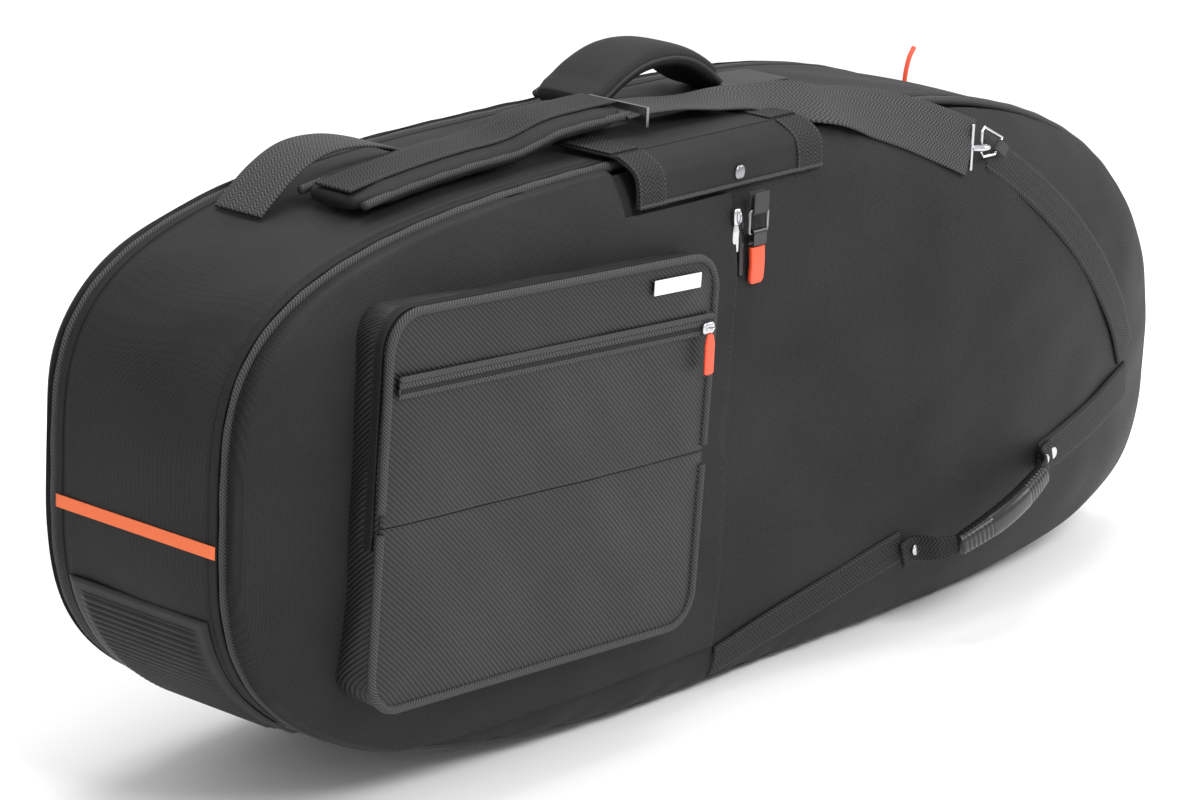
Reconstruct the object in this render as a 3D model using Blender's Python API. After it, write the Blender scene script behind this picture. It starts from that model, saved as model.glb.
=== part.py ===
# A soft gig bag for a tuba, lying on its long edge: small end at -X, bell end at +X, front face at -Y.
import math

import bmesh
import bpy
import numpy as np

for old in list(bpy.data.objects):
    bpy.data.objects.remove(old, do_unlink=True)

# Outline of the bag, seen from the front
BAG_LENGTH = 1.20
BAG_HEIGHT = 0.47
CREST_X = 0.08          # where the top edge is highest
FOOT_X = 0.06           # where the bottom edge is lowest
SMALL_END_Z = 0.25      # height of the widest point of the small end
BELL_END_Z = 0.17       # height of the widest point of the bell end
SQUARE_BELL_TOP = 2.3   # exponents: 2 is an ellipse, more is squarer
SQUARE_SMALL_TOP = 4.0
SQUARE_SMALL_FOOT = 2.8
SQUARE_BELL_FOOT = 3.6
FLOOR_CUT = 0.002       # how much of the bottom edge lies flat
OUTLINE_POINTS = 76

# Depth of the bag, from its middle plane outwards
GUSSET_HALF = 0.078
TAPE_WIDTH = 0.007
PIPING_RADIUS = 0.0042
GAP = 0.0003
PANEL_EDGE = GUSSET_HALF + TAPE_WIDTH + 2 * PIPING_RADIUS + 2 * GAP
PANEL_WALL = 0.008
PUFF = 0.032            # how far each panel bulges everywhere
BELL_BULGE = 0.050      # how much more it bulges over the bell
BELL_BULGE_START = -0.10
BELL_BULGE_FULL = 0.34

# Walls
GUSSET_WALL = 0.003
PADDING_WALL = 0.012
TAPE_WALL = 0.003

# Front door
SPLIT_X = -0.075
HINGE_Z = 0.05
NOTCH_X = -0.205
NOTCH_Z = 0.429
CUT = 0.0006

# Music pocket on the door
POCKET_X = -0.318
POCKET_Z = 0.253
POCKET_W = 0.372
POCKET_H = 0.305
POCKET_CORNER = 0.030
POCKET_TILT = -0.047
POCKET_FACE_Y = 0.158
POCKET_FACE = 0.006
POCKET_WALL = 0.006
POCKET_FOLD_Z = 0.245
POUCH_Z = 0.348
POUCH_TAPE = 0.014
LABEL_W = 0.056
LABEL_H = 0.012

# Straps and webbing
WEBBING = 0.038
WEBBING_T = 0.0022
STRAP_W = 0.050
PAD_W = 0.072
PAD_T = 0.018
FLAP_X0 = -0.190
FLAP_X1 = 0.042
FLAP_T = 0.003
FLAP_HINGE_Y = -0.030
FLAP_LOW_Z = 0.4345
FLAP_STAND = 0.004
GRIP_LENGTH = 0.125
GRIP_R = 0.0085


def material(name, colour, rough, metal=0.0):
    made = bpy.data.materials.new(name)
    made.use_nodes = True
    shader = made.node_tree.nodes["Principled BSDF"]
    shader.inputs["Base Color"].default_value = (*colour, 1)
    shader.inputs["Roughness"].default_value = rough
    shader.inputs["Metallic"].default_value = metal
    return made


NYLON = material("charcoal_nylon", (0.035, 0.036, 0.038), 0.75)
TWILL = material("twill_piping", (0.05, 0.05, 0.053), 0.65)
CARBON = material("pocket_twill", (0.02, 0.02, 0.022), 0.35)
FOAM = material("foam", (0.09, 0.09, 0.095), 0.9)
ORANGE = material("orange", (0.85, 0.12, 0.05), 0.5)
STEEL = material("steel", (0.55, 0.55, 0.57), 0.3, 1.0)
PLASTIC = material("black_plastic", (0.03, 0.03, 0.032), 0.45)
RUBBER = material("rubber", (0.03, 0.03, 0.03), 0.6)
WHITE = material("label_white", (0.8, 0.8, 0.8), 0.5)


def skin(name, rings, mat, loop=False):
    """A closed solid through rings of points: an open path is capped at both ends, a looped one joins up."""
    count, around = len(rings), len(rings[0])
    body = bmesh.new()
    verts = [[body.verts.new(p) for p in ring] for ring in rings]
    for i in range(count if loop else count - 1):
        low, high = verts[i], verts[(i + 1) % count]
        for k in range(around):
            body.faces.new((low[k], low[(k + 1) % around], high[(k + 1) % around], high[k]))
    if not loop:
        body.faces.new(verts[0][::-1])
        body.faces.new(verts[-1])
    bmesh.ops.recalc_face_normals(body, faces=body.faces)
    mesh = bpy.data.meshes.new(name)
    body.to_mesh(mesh)
    body.free()
    made = bpy.data.objects.new(name, mesh)
    bpy.context.scene.collection.objects.link(made)
    mesh.materials.append(mat)
    return made


def quarter(cx, cz, reach_x, reach_z, power, start):
    """A quarter of a superellipse, counter-clockwise from the angle start."""
    angle = start + np.linspace(0, math.pi / 2, 200, endpoint=False)
    c, s = np.cos(angle), np.sin(angle)
    x = cx + reach_x * np.sign(c) * np.abs(c) ** (2 / power)
    z = cz + reach_z * np.sign(s) * np.abs(s) ** (2 / power)
    return np.column_stack([x, z])


def spaced(points, count, closed=True):
    """The same line with count evenly spaced points."""
    line = np.vstack([points, points[:1]]) if closed else np.asarray(points, float)
    along = np.concatenate([[0], np.cumsum(np.linalg.norm(np.diff(line, axis=0), axis=1))])
    where = np.linspace(0, along[-1], count, endpoint=not closed)
    return np.column_stack([np.interp(where, along, line[:, k]) for k in range(line.shape[1])])


HALF = BAG_LENGTH / 2
FINE = spaced(np.vstack([
    quarter(CREST_X, BELL_END_Z, HALF - CREST_X, BAG_HEIGHT - BELL_END_Z, SQUARE_BELL_TOP, 0),
    quarter(CREST_X, SMALL_END_Z, HALF + CREST_X, BAG_HEIGHT - SMALL_END_Z, SQUARE_SMALL_TOP, math.pi / 2),
    quarter(FOOT_X, SMALL_END_Z, HALF + FOOT_X, SMALL_END_Z, SQUARE_SMALL_FOOT, math.pi),
    quarter(FOOT_X, BELL_END_Z, HALF - FOOT_X, BELL_END_Z, SQUARE_BELL_FOOT, 1.5 * math.pi),
]), 1200)
OUTLINE = spaced(FINE, OUTLINE_POINTS)


def normals(points):
    """Outward normals of a closed counter-clockwise line in X and Z."""
    step = np.roll(points, -1, axis=0) - np.roll(points, 1, axis=0)
    out = np.column_stack([step[:, 1], -step[:, 0]])
    return out / np.linalg.norm(out, axis=1)[:, None]


def outline(inset):
    """The bag's outline drawn in by inset, with its bottom cut flat by the floor."""
    points = OUTLINE - normals(OUTLINE) * inset
    points[:, 1] = np.maximum(points[:, 1], FLOOR_CUT + inset) - FLOOR_CUT
    return points


CENTRE = np.array([0.04, 0.235])
SPOKES = FINE - CENTRE
SPOKE_ANGLE = np.arctan2(SPOKES[:, 1], SPOKES[:, 0])
ORDER = np.argsort(SPOKE_ANGLE)


def share(x, z):
    """0 at the middle of the panel, 1 at its edge, along a straight spoke."""
    dx, dz = np.asarray(x, float) - CENTRE[0], np.asarray(z, float) + FLOOR_CUT - CENTRE[1]
    reach = np.interp(np.arctan2(dz, dx), SPOKE_ANGLE[ORDER], np.hypot(*SPOKES.T)[ORDER], period=2 * math.pi)
    return np.hypot(dx, dz) / reach


def dome(x, z):
    """How far a panel's outer face stands from the middle plane."""
    s = np.clip(share(x, z), 0, 1)
    t = np.clip((np.asarray(x, float) - BELL_BULGE_START) / (BELL_BULGE_FULL - BELL_BULGE_START), 0, 1)
    swell = (1 - s ** 3) ** 1.3 * t * t * (3 - 2 * t)
    return PANEL_EDGE + PUFF * (1 - s ** 8) + BELL_BULGE * swell


def top_z(x, inset=0.0):
    """Height of the bag's top edge at x."""
    upper = FINE[FINE[:, 1] > 0.3]
    upper = upper[np.argsort(upper[:, 0])]
    return float(np.interp(x, upper[:, 0], upper[:, 1])) - FLOOR_CUT - inset


def band_ring(name, inset, wall, y0, y1, mat):
    """A ring that follows the outline, inset at its outside, wall thick, from y0 to y1."""
    outer, inner = outline(inset), outline(inset + wall)
    rings = [
        [(o[0], y0, o[1]), (o[0], y1, o[1]), (i[0], y1, i[1]), (i[0], y0, i[1])]
        for o, i in zip(outer, inner)
    ]
    return skin(name, rings, mat, loop=True)


def edge_strip(name, first, last, rise, thick, y0, y1, mat):
    """A strip on the outside of the gusset between two places along the fine outline, given as indices."""
    line = FINE[first:last]
    line = spaced(line, max(4, int((last - first) / 9)), closed=False)
    step = np.gradient(line, axis=0)
    out = np.column_stack([step[:, 1], -step[:, 0]])
    out /= np.linalg.norm(out, axis=1)[:, None]
    low, high = line + out * rise, line + out * (rise + thick)
    rings = [
        [(a[0], y0, a[1] - FLOOR_CUT), (a[0], y1, a[1] - FLOOR_CUT),
         (b[0], y1, b[1] - FLOOR_CUT), (b[0], y0, b[1] - FLOOR_CUT)]
        for a, b in zip(low, high)
    ]
    return skin(name, rings, mat)


def tube_loop(name, inset, y, radius, mat, sides=8):
    """Round piping along the whole outline."""
    points = outline(inset)
    out = normals(points)
    rings = []
    for p, n in zip(points, out):
        turn = [2 * math.pi * k / sides for k in range(sides)]
        rings.append([
            (p[0] + n[0] * radius * math.cos(a), y + radius * math.sin(a), p[1] + n[1] * radius * math.cos(a))
            for a in turn
        ])
    return skin(name, rings, mat, loop=True)


def panel(name, side, inset, lift, wall, mat):
    """A domed panel: its outer face is lift inside the dome, side is -1 at the front and 1 at the back."""
    rim = outline(inset)
    middle = np.array([CENTRE[0], CENTRE[1] - FLOOR_CUT])
    steps = (0.03, 0.35, 0.6, 0.78, 0.88, 0.95, 1.0)
    rings = []
    for depth, order in ((lift, steps), (lift + wall, steps[::-1])):
        for s in order:
            ring = middle + (rim - middle) * s
            y = dome(ring[:, 0], ring[:, 1]) - depth
            rings.append([(p[0], side * h, p[1]) for p, h in zip(ring, y)])
    return skin(name, rings, mat)


def prism(name, points, y0, y1, mat=None):
    """A solid with the outline points in X and Z, from y0 to y1."""
    return skin(name, [[(p[0], y, p[1]) for p in points] for y in (y0, y1)], mat or NYLON)


def block(name, low, high, mat):
    corners = [(low[0], low[2]), (high[0], low[2]), (high[0], high[2]), (low[0], high[2])]
    return prism(name, corners, low[1], high[1], mat)


def hide(cutter):
    cutter.hide_render = True
    cutter.display_type = "WIRE"
    return cutter


def cut(obj, cutter, operation="DIFFERENCE"):
    step = obj.modifiers.new(operation.lower() + "_" + cutter.name, "BOOLEAN")
    step.operation = operation
    step.object = hide(cutter)
    return obj


def ribbon(name, points, sides, width, thick, mat):
    """Flat webbing along points; sides are the directions across it, one for each point or one for all."""
    points = np.asarray(points, float)
    across = np.broadcast_to(np.asarray(sides, float), points.shape)
    across = across / np.linalg.norm(across, axis=1)[:, None]
    run = np.gradient(points, axis=0)
    run /= np.linalg.norm(run, axis=1)[:, None]
    up = np.cross(run, across)
    up /= np.linalg.norm(up, axis=1)[:, None]
    a, b = across * width / 2, up * thick / 2
    rings = [[p - u - v, p + u - v, p + u + v, p - u + v] for p, u, v in zip(points, a, b)]
    return skin(name, rings, mat)


def on_panel(name, line, width, mat, side=-1, thick=WEBBING_T, lift=GAP, count=14):
    """Webbing sewn flat onto a domed panel along a line in X and Z."""
    line = spaced(np.asarray(line, float), count, closed=False)
    run = np.gradient(line, axis=0)
    run /= np.linalg.norm(run, axis=1)[:, None]
    across = np.column_stack([-run[:, 1], run[:, 0]])
    rings = []
    for p, a in zip(line, across):
        spots = [p + a * width * k for k in (-0.5, -0.25, 0, 0.25, 0.5)]
        low = [(q[0], side * (float(dome(*q)) + lift), q[1]) for q in spots]
        high = [(q[0], side * (float(dome(*q)) + lift + thick), q[1]) for q in spots[::-1]]
        rings.append(low + high)
    return skin(name, rings, mat)


def round_bar(name, points, radius, mat, sides=8, loop=False):
    """A round bar along points."""
    points = np.asarray(points, float)
    if loop:
        run = np.roll(points, -1, axis=0) - np.roll(points, 1, axis=0)
    else:
        run = np.gradient(points, axis=0)
    run /= np.linalg.norm(run, axis=1)[:, None]
    normal = np.linalg.svd(points - points.mean(axis=0))[2][-1]
    if abs(run @ normal).max() > 0.9:
        normal = np.array([0.0, 1.0, 0.0])
    rings = []
    for p, r in zip(points, run):
        u = np.cross(r, normal)
        u /= np.linalg.norm(u)
        v = np.cross(r, u)
        rings.append([p + radius * (u * math.cos(a) + v * math.sin(a))
                      for a in (2 * math.pi * k / sides for k in range(sides))])
    return skin(name, rings, mat, loop=loop)


def rounded(cx, cz, width, height, corner, tilt=0.0, steps=5):
    """A rounded rectangle in X and Z, counter-clockwise."""
    points = []
    for quadrant, (sx, sz) in enumerate(((1, 1), (-1, 1), (-1, -1), (1, -1))):
        for k in range(steps):
            a = math.pi / 2 * (quadrant + k / (steps - 1))
            points.append((sx * (width / 2 - corner) + corner * math.cos(a),
                           sz * (height / 2 - corner) + corner * math.sin(a)))
    c, s = math.cos(tilt), math.sin(tilt)
    return [(cx + x * c - z * s, cz + x * s + z * c) for x, z in points]


def pivot(obj, point):
    """Moves an object's origin to a point without moving its shape."""
    shift = np.asarray(point, float)
    for v in obj.data.vertices:
        v.co = [v.co[k] - shift[k] for k in range(3)]
    obj.location = shift
    return obj


# Gusset, padding and zipper tapes
gusset = band_ring("gusset", 0, GUSSET_WALL, -GUSSET_HALF, GUSSET_HALF, NYLON)
padding = band_ring("gusset_padding", GUSSET_WALL + GAP, PADDING_WALL, -GUSSET_HALF, GUSSET_HALF, FOAM)
for side, label in ((-1, "front"), (1, "back")):
    near = side * (GUSSET_HALF + GAP)
    far = side * (GUSSET_HALF + TAPE_WIDTH)
    band_ring(label + "_zipper_tape", 0, TAPE_WALL, min(near, far), max(near, far), TWILL)

# Marker band and kick plate on the small end
left = int(np.argmin(FINE[:, 0]))
rows = FINE[:, 1]


def index_at(z, after):
    """The first fine outline index past after whose height is below z."""
    return after + int(np.argmax(rows[after:] < z))


STRIP_RISE = 0.0009
MARKER_Z = 0.2465
MARKER_DROP = 0.013
BAND_TOP = index_at(MARKER_Z + FLOOR_CUT, left - 30)
BAND_LOW = index_at(MARKER_Z - MARKER_DROP + FLOOR_CUT, left - 30)
edge_strip("marker_band", BAND_TOP, BAND_LOW, STRIP_RISE, 0.0015, -GUSSET_HALF - TAPE_WIDTH,
           GUSSET_HALF + TAPE_WIDTH, ORANGE)
KICK_HIGH_Z = 0.185
KICK_LOW_Z = 0.072
edge_strip("kick_plate", index_at(KICK_HIGH_Z, left), index_at(KICK_LOW_Z, left), STRIP_RISE, 0.004,
           -GUSSET_HALF + 0.006, GUSSET_HALF - 0.002, RUBBER)

# Cushions and tie strap inside
INSIDE = GUSSET_WALL + PADDING_WALL + 2 * GAP
CUSHION_HALF = 0.070


def end_cushion(name, keep, thick):
    """A foam block against the inside of one end."""
    chosen = [k for k, p in enumerate(outline(INSIDE)) if keep(p)]
    start = next(k for k in chosen if (k - 1) % OUTLINE_POINTS not in chosen)
    order = [(start + k) % OUTLINE_POINTS for k in range(len(chosen))]
    outer, inner = outline(INSIDE)[order], outline(INSIDE + thick)[order]
    rings = [
        [(o[0], -CUSHION_HALF, o[1]), (o[0], CUSHION_HALF, o[1]),
         (i[0], CUSHION_HALF, i[1]), (i[0], -CUSHION_HALF, i[1])]
        for o, i in zip(outer, inner)
    ]
    return skin(name, rings, FOAM)


end_cushion("bottom_cushion", lambda p: p[0] < -0.50, 0.030)
end_cushion("bell_cushion", lambda p: p[0] > 0.50, 0.022)

# Front panels: door and bell panel are cut from one domed blank
RIM = 2 * PIPING_RADIUS + GAP
FAR = BAG_LENGTH
DOOR_OUTLINE = [(-FAR, HINGE_Z), (SPLIT_X, HINGE_Z), (SPLIT_X, NOTCH_Z), (NOTCH_X, NOTCH_Z),
                (NOTCH_X, FAR), (-FAR, FAR)]
DOOR_KEEP = [(-FAR, HINGE_Z + CUT), (SPLIT_X - CUT, HINGE_Z + CUT), (SPLIT_X - CUT, NOTCH_Z - CUT),
             (NOTCH_X - CUT, NOTCH_Z - CUT), (NOTCH_X - CUT, FAR), (-FAR, FAR)]


def door_part(name, made):
    return cut(made, prism(name + "_region", DOOR_KEEP, -0.4, 0.05), "INTERSECT")


def bell_part(name, made):
    return cut(made, prism(name + "_region", DOOR_OUTLINE, -0.4, 0.05), "DIFFERENCE")


door_panel = door_part("door_panel", panel("door_panel", -1, RIM, 0, PANEL_WALL, NYLON))
bell_panel = bell_part("bell_panel", panel("bell_panel", -1, RIM, 0, PANEL_WALL, NYLON))
PIPING_Y = GUSSET_HALF + TAPE_WIDTH + GAP + PIPING_RADIUS
door_piping = door_part("door_piping",
                        tube_loop("door_piping", PIPING_RADIUS, -PIPING_Y, PIPING_RADIUS, TWILL))
bell_piping = bell_part("bell_piping",
                        tube_loop("bell_piping", PIPING_RADIUS, -PIPING_Y, PIPING_RADIUS, TWILL))

# Back panels: lid above the fold line, a lower panel below it
LID_KEEP = [(-FAR, HINGE_Z + CUT), (FAR, HINGE_Z + CUT), (FAR, FAR), (-FAR, FAR)]
LOW_KEEP = [(-FAR, -FAR), (FAR, -FAR), (FAR, HINGE_Z), (-FAR, HINGE_Z)]
for name, keep in (("lid_panel", LID_KEEP), ("lower_back_panel", LOW_KEEP)):
    made = panel(name, 1, RIM, 0, PANEL_WALL, NYLON)
    cut(made, prism(name + "_region", keep, -0.05, 0.4), "INTERSECT")
for name, keep in (("lid_piping", LID_KEEP), ("lower_back_piping", LOW_KEEP)):
    made = tube_loop(name, PIPING_RADIUS, PIPING_Y, PIPING_RADIUS, TWILL)
    cut(made, prism(name + "_region", keep, -0.05, 0.4), "INTERSECT")

DOOR_AXIS = (0, -(PANEL_EDGE + PUFF + 0.001), HINGE_Z)
HINGE_XS = np.linspace(-HALF, HALF, 60)
LID_AXIS = (0, float(dome(HINGE_XS, HINGE_Z + 0 * HINGE_XS).max()) + 0.001, HINGE_Z)

# Music pocket
POCKET_BACK_Y = -(POCKET_FACE_Y - POCKET_FACE - GAP)
pocket_line = rounded(POCKET_X, POCKET_Z, POCKET_W, POCKET_H, POCKET_CORNER, POCKET_TILT)
pocket_inner = rounded(POCKET_X, POCKET_Z, POCKET_W - 2 * POCKET_WALL, POCKET_H - 2 * POCKET_WALL,
                       POCKET_CORNER - POCKET_WALL, POCKET_TILT)
pocket_body = prism("pocket_body", pocket_line, POCKET_BACK_Y, -PANEL_EDGE, CARBON)
POCKET_FLOOR_Y = -(PANEL_EDGE + PUFF + 0.0035)
cut(pocket_body, prism("pocket_hollow", pocket_inner, POCKET_BACK_Y - 0.01, POCKET_FLOOR_Y))
seat = panel("pocket_seat", -1, RIM, -GAP, 0.06, NYLON)
cut(pocket_body, seat)

FACE_Y0 = -POCKET_FACE_Y
FACE_Y1 = -POCKET_FACE_Y + POCKET_FACE
FOLD_SLOPE = math.tan(POCKET_TILT)


def fold_z(x):
    return POCKET_FOLD_Z + (x - POCKET_X) * FOLD_SLOPE


def half(name, sign):
    a, b = POCKET_X - POCKET_W, POCKET_X + POCKET_W
    shift = sign * CUT / 2
    points = [(a, fold_z(a) + shift), (b, fold_z(b) + shift), (b, POCKET_Z + sign * POCKET_H),
              (a, POCKET_Z + sign * POCKET_H)]
    return prism(name, points, FACE_Y0 - 0.02, FACE_Y1 + 0.02)


pocket_flap = prism("pocket_flap", pocket_line, FACE_Y0, FACE_Y1, CARBON)
cut(pocket_flap, half("flap_half", 1), "INTERSECT")
pocket_lower = prism("pocket_lower_front", pocket_line, FACE_Y0, FACE_Y1, CARBON)
cut(pocket_lower, half("lower_half", -1), "INTERSECT")
FOLD_AXIS = (POCKET_X, FACE_Y0, POCKET_FOLD_Z)


def tilted(x, z):
    """A place on the pocket's face, from its middle along its own edges."""
    c, s = math.cos(POCKET_TILT), math.sin(POCKET_TILT)
    return (POCKET_X + x * c - z * s, POCKET_Z + x * s + z * c)


def plate(name, cx, cz, width, height, y_low, thick, mat, corner=0.0015):
    """A thin plate that stands on a face at y_low, turned with the pocket."""
    x, z = tilted(cx, cz)
    return prism(name, rounded(x, z, width, height, corner, POCKET_TILT, 3), -y_low - thick, -y_low, mat)


POUCH_RISE = POUCH_Z - POCKET_Z
plate("pouch_zipper", 0, POUCH_RISE, POCKET_W - 0.016, POUCH_TAPE, POCKET_FACE_Y + GAP, 0.0015, TWILL)
LABEL_X = POCKET_W / 2 - 0.054
plate("label", LABEL_X, POCKET_H / 2 - 0.018, LABEL_W, LABEL_H, POCKET_FACE_Y + GAP, 0.001, WHITE, 0.004)

# Sliders and pulls
SLIDER_W = 0.010
SLIDER_L = 0.014
SLIDER_H = 0.006
PULL_W = 0.011
PULL_L = 0.030
PULL_T = 0.003
PULL_DROP = 0.0022      # a pull starts this far below its hinge, so it turns clear of its slider
slider_x, slider_z = tilted(POCKET_W / 2 - 0.016, POUCH_RISE)
POUCH_TOP = POCKET_FACE_Y + GAP + 0.0015 + GAP
block("pouch_slider", (slider_x - SLIDER_L / 2, -POUCH_TOP - SLIDER_H, slider_z - SLIDER_W / 2),
      (slider_x + SLIDER_L / 2, -POUCH_TOP, slider_z + SLIDER_W / 2), STEEL)


def pull(name, top, width, length, thick, mat):
    """A pull tab that hangs from top, with its origin on its hinge."""
    made = prism(name, rounded(0, -PULL_DROP - length / 2, width, length, 0.003, 0, 3), -thick / 2, thick / 2, mat)
    made.location = top
    return made


pull("pouch_pull", (slider_x, -POUCH_TOP - SLIDER_H + PULL_T / 2, slider_z - SLIDER_W / 2 - GAP),
     PULL_W, PULL_L, PULL_T, ORANGE)
side_x = POCKET_X + POCKET_W / 2 * math.cos(POCKET_TILT)
POCKET_SLIDER_Z = 0.252
POCKET_SLIDER_Y = -(POCKET_FACE_Y - POCKET_FACE - 0.010)
side_gap = 0.0008
block("pocket_slider", (side_x + side_gap, POCKET_SLIDER_Y - SLIDER_W / 2, POCKET_SLIDER_Z - SLIDER_L / 2),
      (side_x + side_gap + SLIDER_H, POCKET_SLIDER_Y + SLIDER_W / 2, POCKET_SLIDER_Z + SLIDER_L / 2), STEEL)
pocket_pull = block("pocket_pull", (-PULL_T / 2, -PULL_W / 2, -PULL_DROP - PULL_L),
                    (PULL_T / 2, PULL_W / 2, -PULL_DROP), ORANGE)
pocket_pull.location = (side_x + side_gap + SLIDER_H / 2, POCKET_SLIDER_Y, POCKET_SLIDER_Z - SLIDER_L / 2 - GAP)

DOOR_SLIDER_Z = 0.412
DOOR_SLIDE = 0.030
DOOR_SLIDER_Y = float(dome(SPLIT_X, DOOR_SLIDER_Z - DOOR_SLIDE - SLIDER_L / 2)) + GAP
DOOR_SLIDER_W = 0.009
block("door_slider", (SPLIT_X - DOOR_SLIDER_W / 2, -DOOR_SLIDER_Y - SLIDER_H, DOOR_SLIDER_Z - SLIDER_L / 2),
      (SPLIT_X + DOOR_SLIDER_W / 2, -DOOR_SLIDER_Y, DOOR_SLIDER_Z + SLIDER_L / 2), STEEL)
pull("door_pull", (SPLIT_X, -DOOR_SLIDER_Y - SLIDER_H + PULL_T / 2, DOOR_SLIDER_Z - SLIDER_L / 2 - GAP),
     0.008, 0.020, PULL_T, STEEL)

LID_SLIDER_X = 0.43
lid_slope = (top_z(LID_SLIDER_X + 0.01) - top_z(LID_SLIDER_X - 0.01)) / 0.02
run = np.array([1, lid_slope]) / math.hypot(1, lid_slope)
rise = np.array([-run[1], run[0]])
LID_SLIDER_Y = GUSSET_HALF + TAPE_WIDTH / 2
foot = np.array([LID_SLIDER_X, top_z(LID_SLIDER_X)]) + rise * 0.0008
corners = [foot - run * SLIDER_L / 2, foot + run * SLIDER_L / 2,
           foot + run * SLIDER_L / 2 + rise * SLIDER_H, foot - run * SLIDER_L / 2 + rise * SLIDER_H]
prism("lid_slider", corners, LID_SLIDER_Y - SLIDER_W / 2, LID_SLIDER_Y + SLIDER_W / 2, STEEL)
LID_PULL_L = 0.034
base = foot + rise * (SLIDER_H + PULL_T / 2 + GAP)
lid_pull = block("lid_pull", (-PULL_T / 2, -0.002, 0), (PULL_T / 2, 0.002, LID_PULL_L), ORANGE)
lid_pull.location = (base[0], LID_SLIDER_Y, base[1])

# Storm flap: a top part sewn to the gusset and a leaf that folds down over the front edge
FLAP_CREST_Z = BAG_HEIGHT - FLOOR_CUT + 0.003
FOLD_Y = PANEL_EDGE + 0.003
flap_y = float(dome(-0.08, FLAP_LOW_Z)) + FLAP_STAND
LEAF_LINE = [(FOLD_Y + GAP, FLAP_CREST_Z - 0.001), (flap_y - 0.004, FLAP_CREST_Z - 0.010),
             (flap_y, FLAP_CREST_Z - 0.020), (flap_y, FLAP_LOW_Z)]


def leaf_profile(lift):
    """The leaf's side line, moved outwards by lift."""
    line = np.array(LEAF_LINE)
    step = np.gradient(line, axis=0)
    out = np.column_stack([-step[:, 1], step[:, 0]])
    out /= np.linalg.norm(out, axis=1)[:, None]
    return line + out * lift


def leaf(name, x0, x1, lift, thick, mat):
    low, high = leaf_profile(lift), leaf_profile(lift + thick)
    rings = []
    for x in (x0, x1):
        rings.append([(x, -p[0], p[1]) for p in low] + [(x, -p[0], p[1]) for p in high[::-1]])
    return skin(name, rings, mat)


BAND_W = 0.034
BAND_T = 0.0015
leaf("flap_leaf", FLAP_X0, FLAP_X1, 0, FLAP_T, NYLON)
block("flap_top", (FLAP_X0, -FOLD_Y, FLAP_CREST_Z - 0.001), (FLAP_X1, FLAP_HINGE_Y, FLAP_CREST_Z + 0.002), NYLON)
for name, x0, x1 in (("left", FLAP_X0, FLAP_X0 + BAND_W), ("right", FLAP_X1 - BAND_W, FLAP_X1)):
    leaf("flap_band_" + name, x0, x1, FLAP_T + GAP, BAND_T, TWILL)
FLAP_AXIS = (0, -FOLD_Y, FLAP_CREST_Z + 0.002)
block("flap_seam", (FLAP_X0, FLAP_HINGE_Y + GAP, FLAP_CREST_Z - 0.0025),
      (FLAP_X1, FLAP_HINGE_Y + 0.010, FLAP_CREST_Z + 0.001), TWILL)
SNAP_X = -0.066
SNAP_Z = 0.446


def disc(name, centre, radius, thick, mat, sides=14):
    """A round cap whose axis is along Y; centre is its inner face."""
    turn = [2 * math.pi * k / sides for k in range(sides)]
    shape = [(centre[0] + radius * math.cos(a), centre[2] + radius * math.sin(a)) for a in turn]
    return prism(name, shape, centre[1] - thick, centre[1], mat)


disc("flap_snap", (SNAP_X, -(flap_y + FLAP_T + GAP), SNAP_Z), 0.006, 0.002, PLASTIC)

# Buckle below the flap
BUCKLE_X = -0.050
BUCKLE_W = 0.018
TAB_LOW_Z = 0.414
BUCKLE_Y = float(dome(BUCKLE_X, 0.375)) + 0.0065
RING_R = 0.0015
RING_W = 0.026
RING_H = 0.018
RING_CORNER = 0.0025
LOOP_SLACK = 0.0005
LOOP_WALL = 0.0012


def wrap(name, bar, axis, away, width, length, mat, bar_r=RING_R):
    """Webbing folded round a bar: two legs of the given length run away from it."""
    axis, away, bar = (np.asarray(v, float) for v in (axis, away, bar))
    side = np.cross(axis, away)
    r = bar_r + LOOP_SLACK + LOOP_WALL / 2
    turn = np.linspace(0, math.pi, 8)
    path = [bar + side * r + away * length]
    path += [bar + side * r * math.cos(a) - away * r * math.sin(a) for a in turn]
    path += [bar - side * r + away * length]
    return ribbon(name, path, axis, width, LOOP_WALL, mat)


ring_top = np.array([BUCKLE_X, -BUCKLE_Y, TAB_LOW_Z])
ring_low = ring_top - np.array([0, 0, RING_H])
TAB_LENGTH = FLAP_LOW_Z - TAB_LOW_Z - 0.005
wrap("buckle_tab", ring_top, (1, 0, 0), (0, 0, 1), BUCKLE_W, TAB_LENGTH, NYLON)
ring_line = rounded(BUCKLE_X, TAB_LOW_Z - RING_H / 2, RING_W - 2 * RING_R, RING_H, RING_CORNER, 0, 4)
round_bar("buckle_ring", [(x, -BUCKLE_Y, z) for x, z in ring_line], RING_R, STEEL, 8, loop=True)
HOOK_LENGTH = 0.010
wrap("buckle_hook", ring_low, (1, 0, 0), (0, 0, -1), BUCKLE_W - 0.002, HOOK_LENGTH, PLASTIC)
HOOK_LOW_Z = float(ring_low[2]) - HOOK_LENGTH - 2 * GAP
BUCKLE_PULL_L = 0.030
PULL_HALF = 0.0025
PULL_TOP_Z = HOOK_LOW_Z - 0.0012
block("buckle_pull", (BUCKLE_X - 0.008, -BUCKLE_Y - PULL_HALF, PULL_TOP_Z - BUCKLE_PULL_L),
      (BUCKLE_X + 0.008, -BUCKLE_Y + PULL_HALF, PULL_TOP_Z), ORANGE)
BASE_X = -0.0645
on_panel("buckle_base", [(BASE_X, 0.362), (BASE_X, 0.410)], 0.006, PLASTIC, thick=0.003, count=4)

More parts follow.
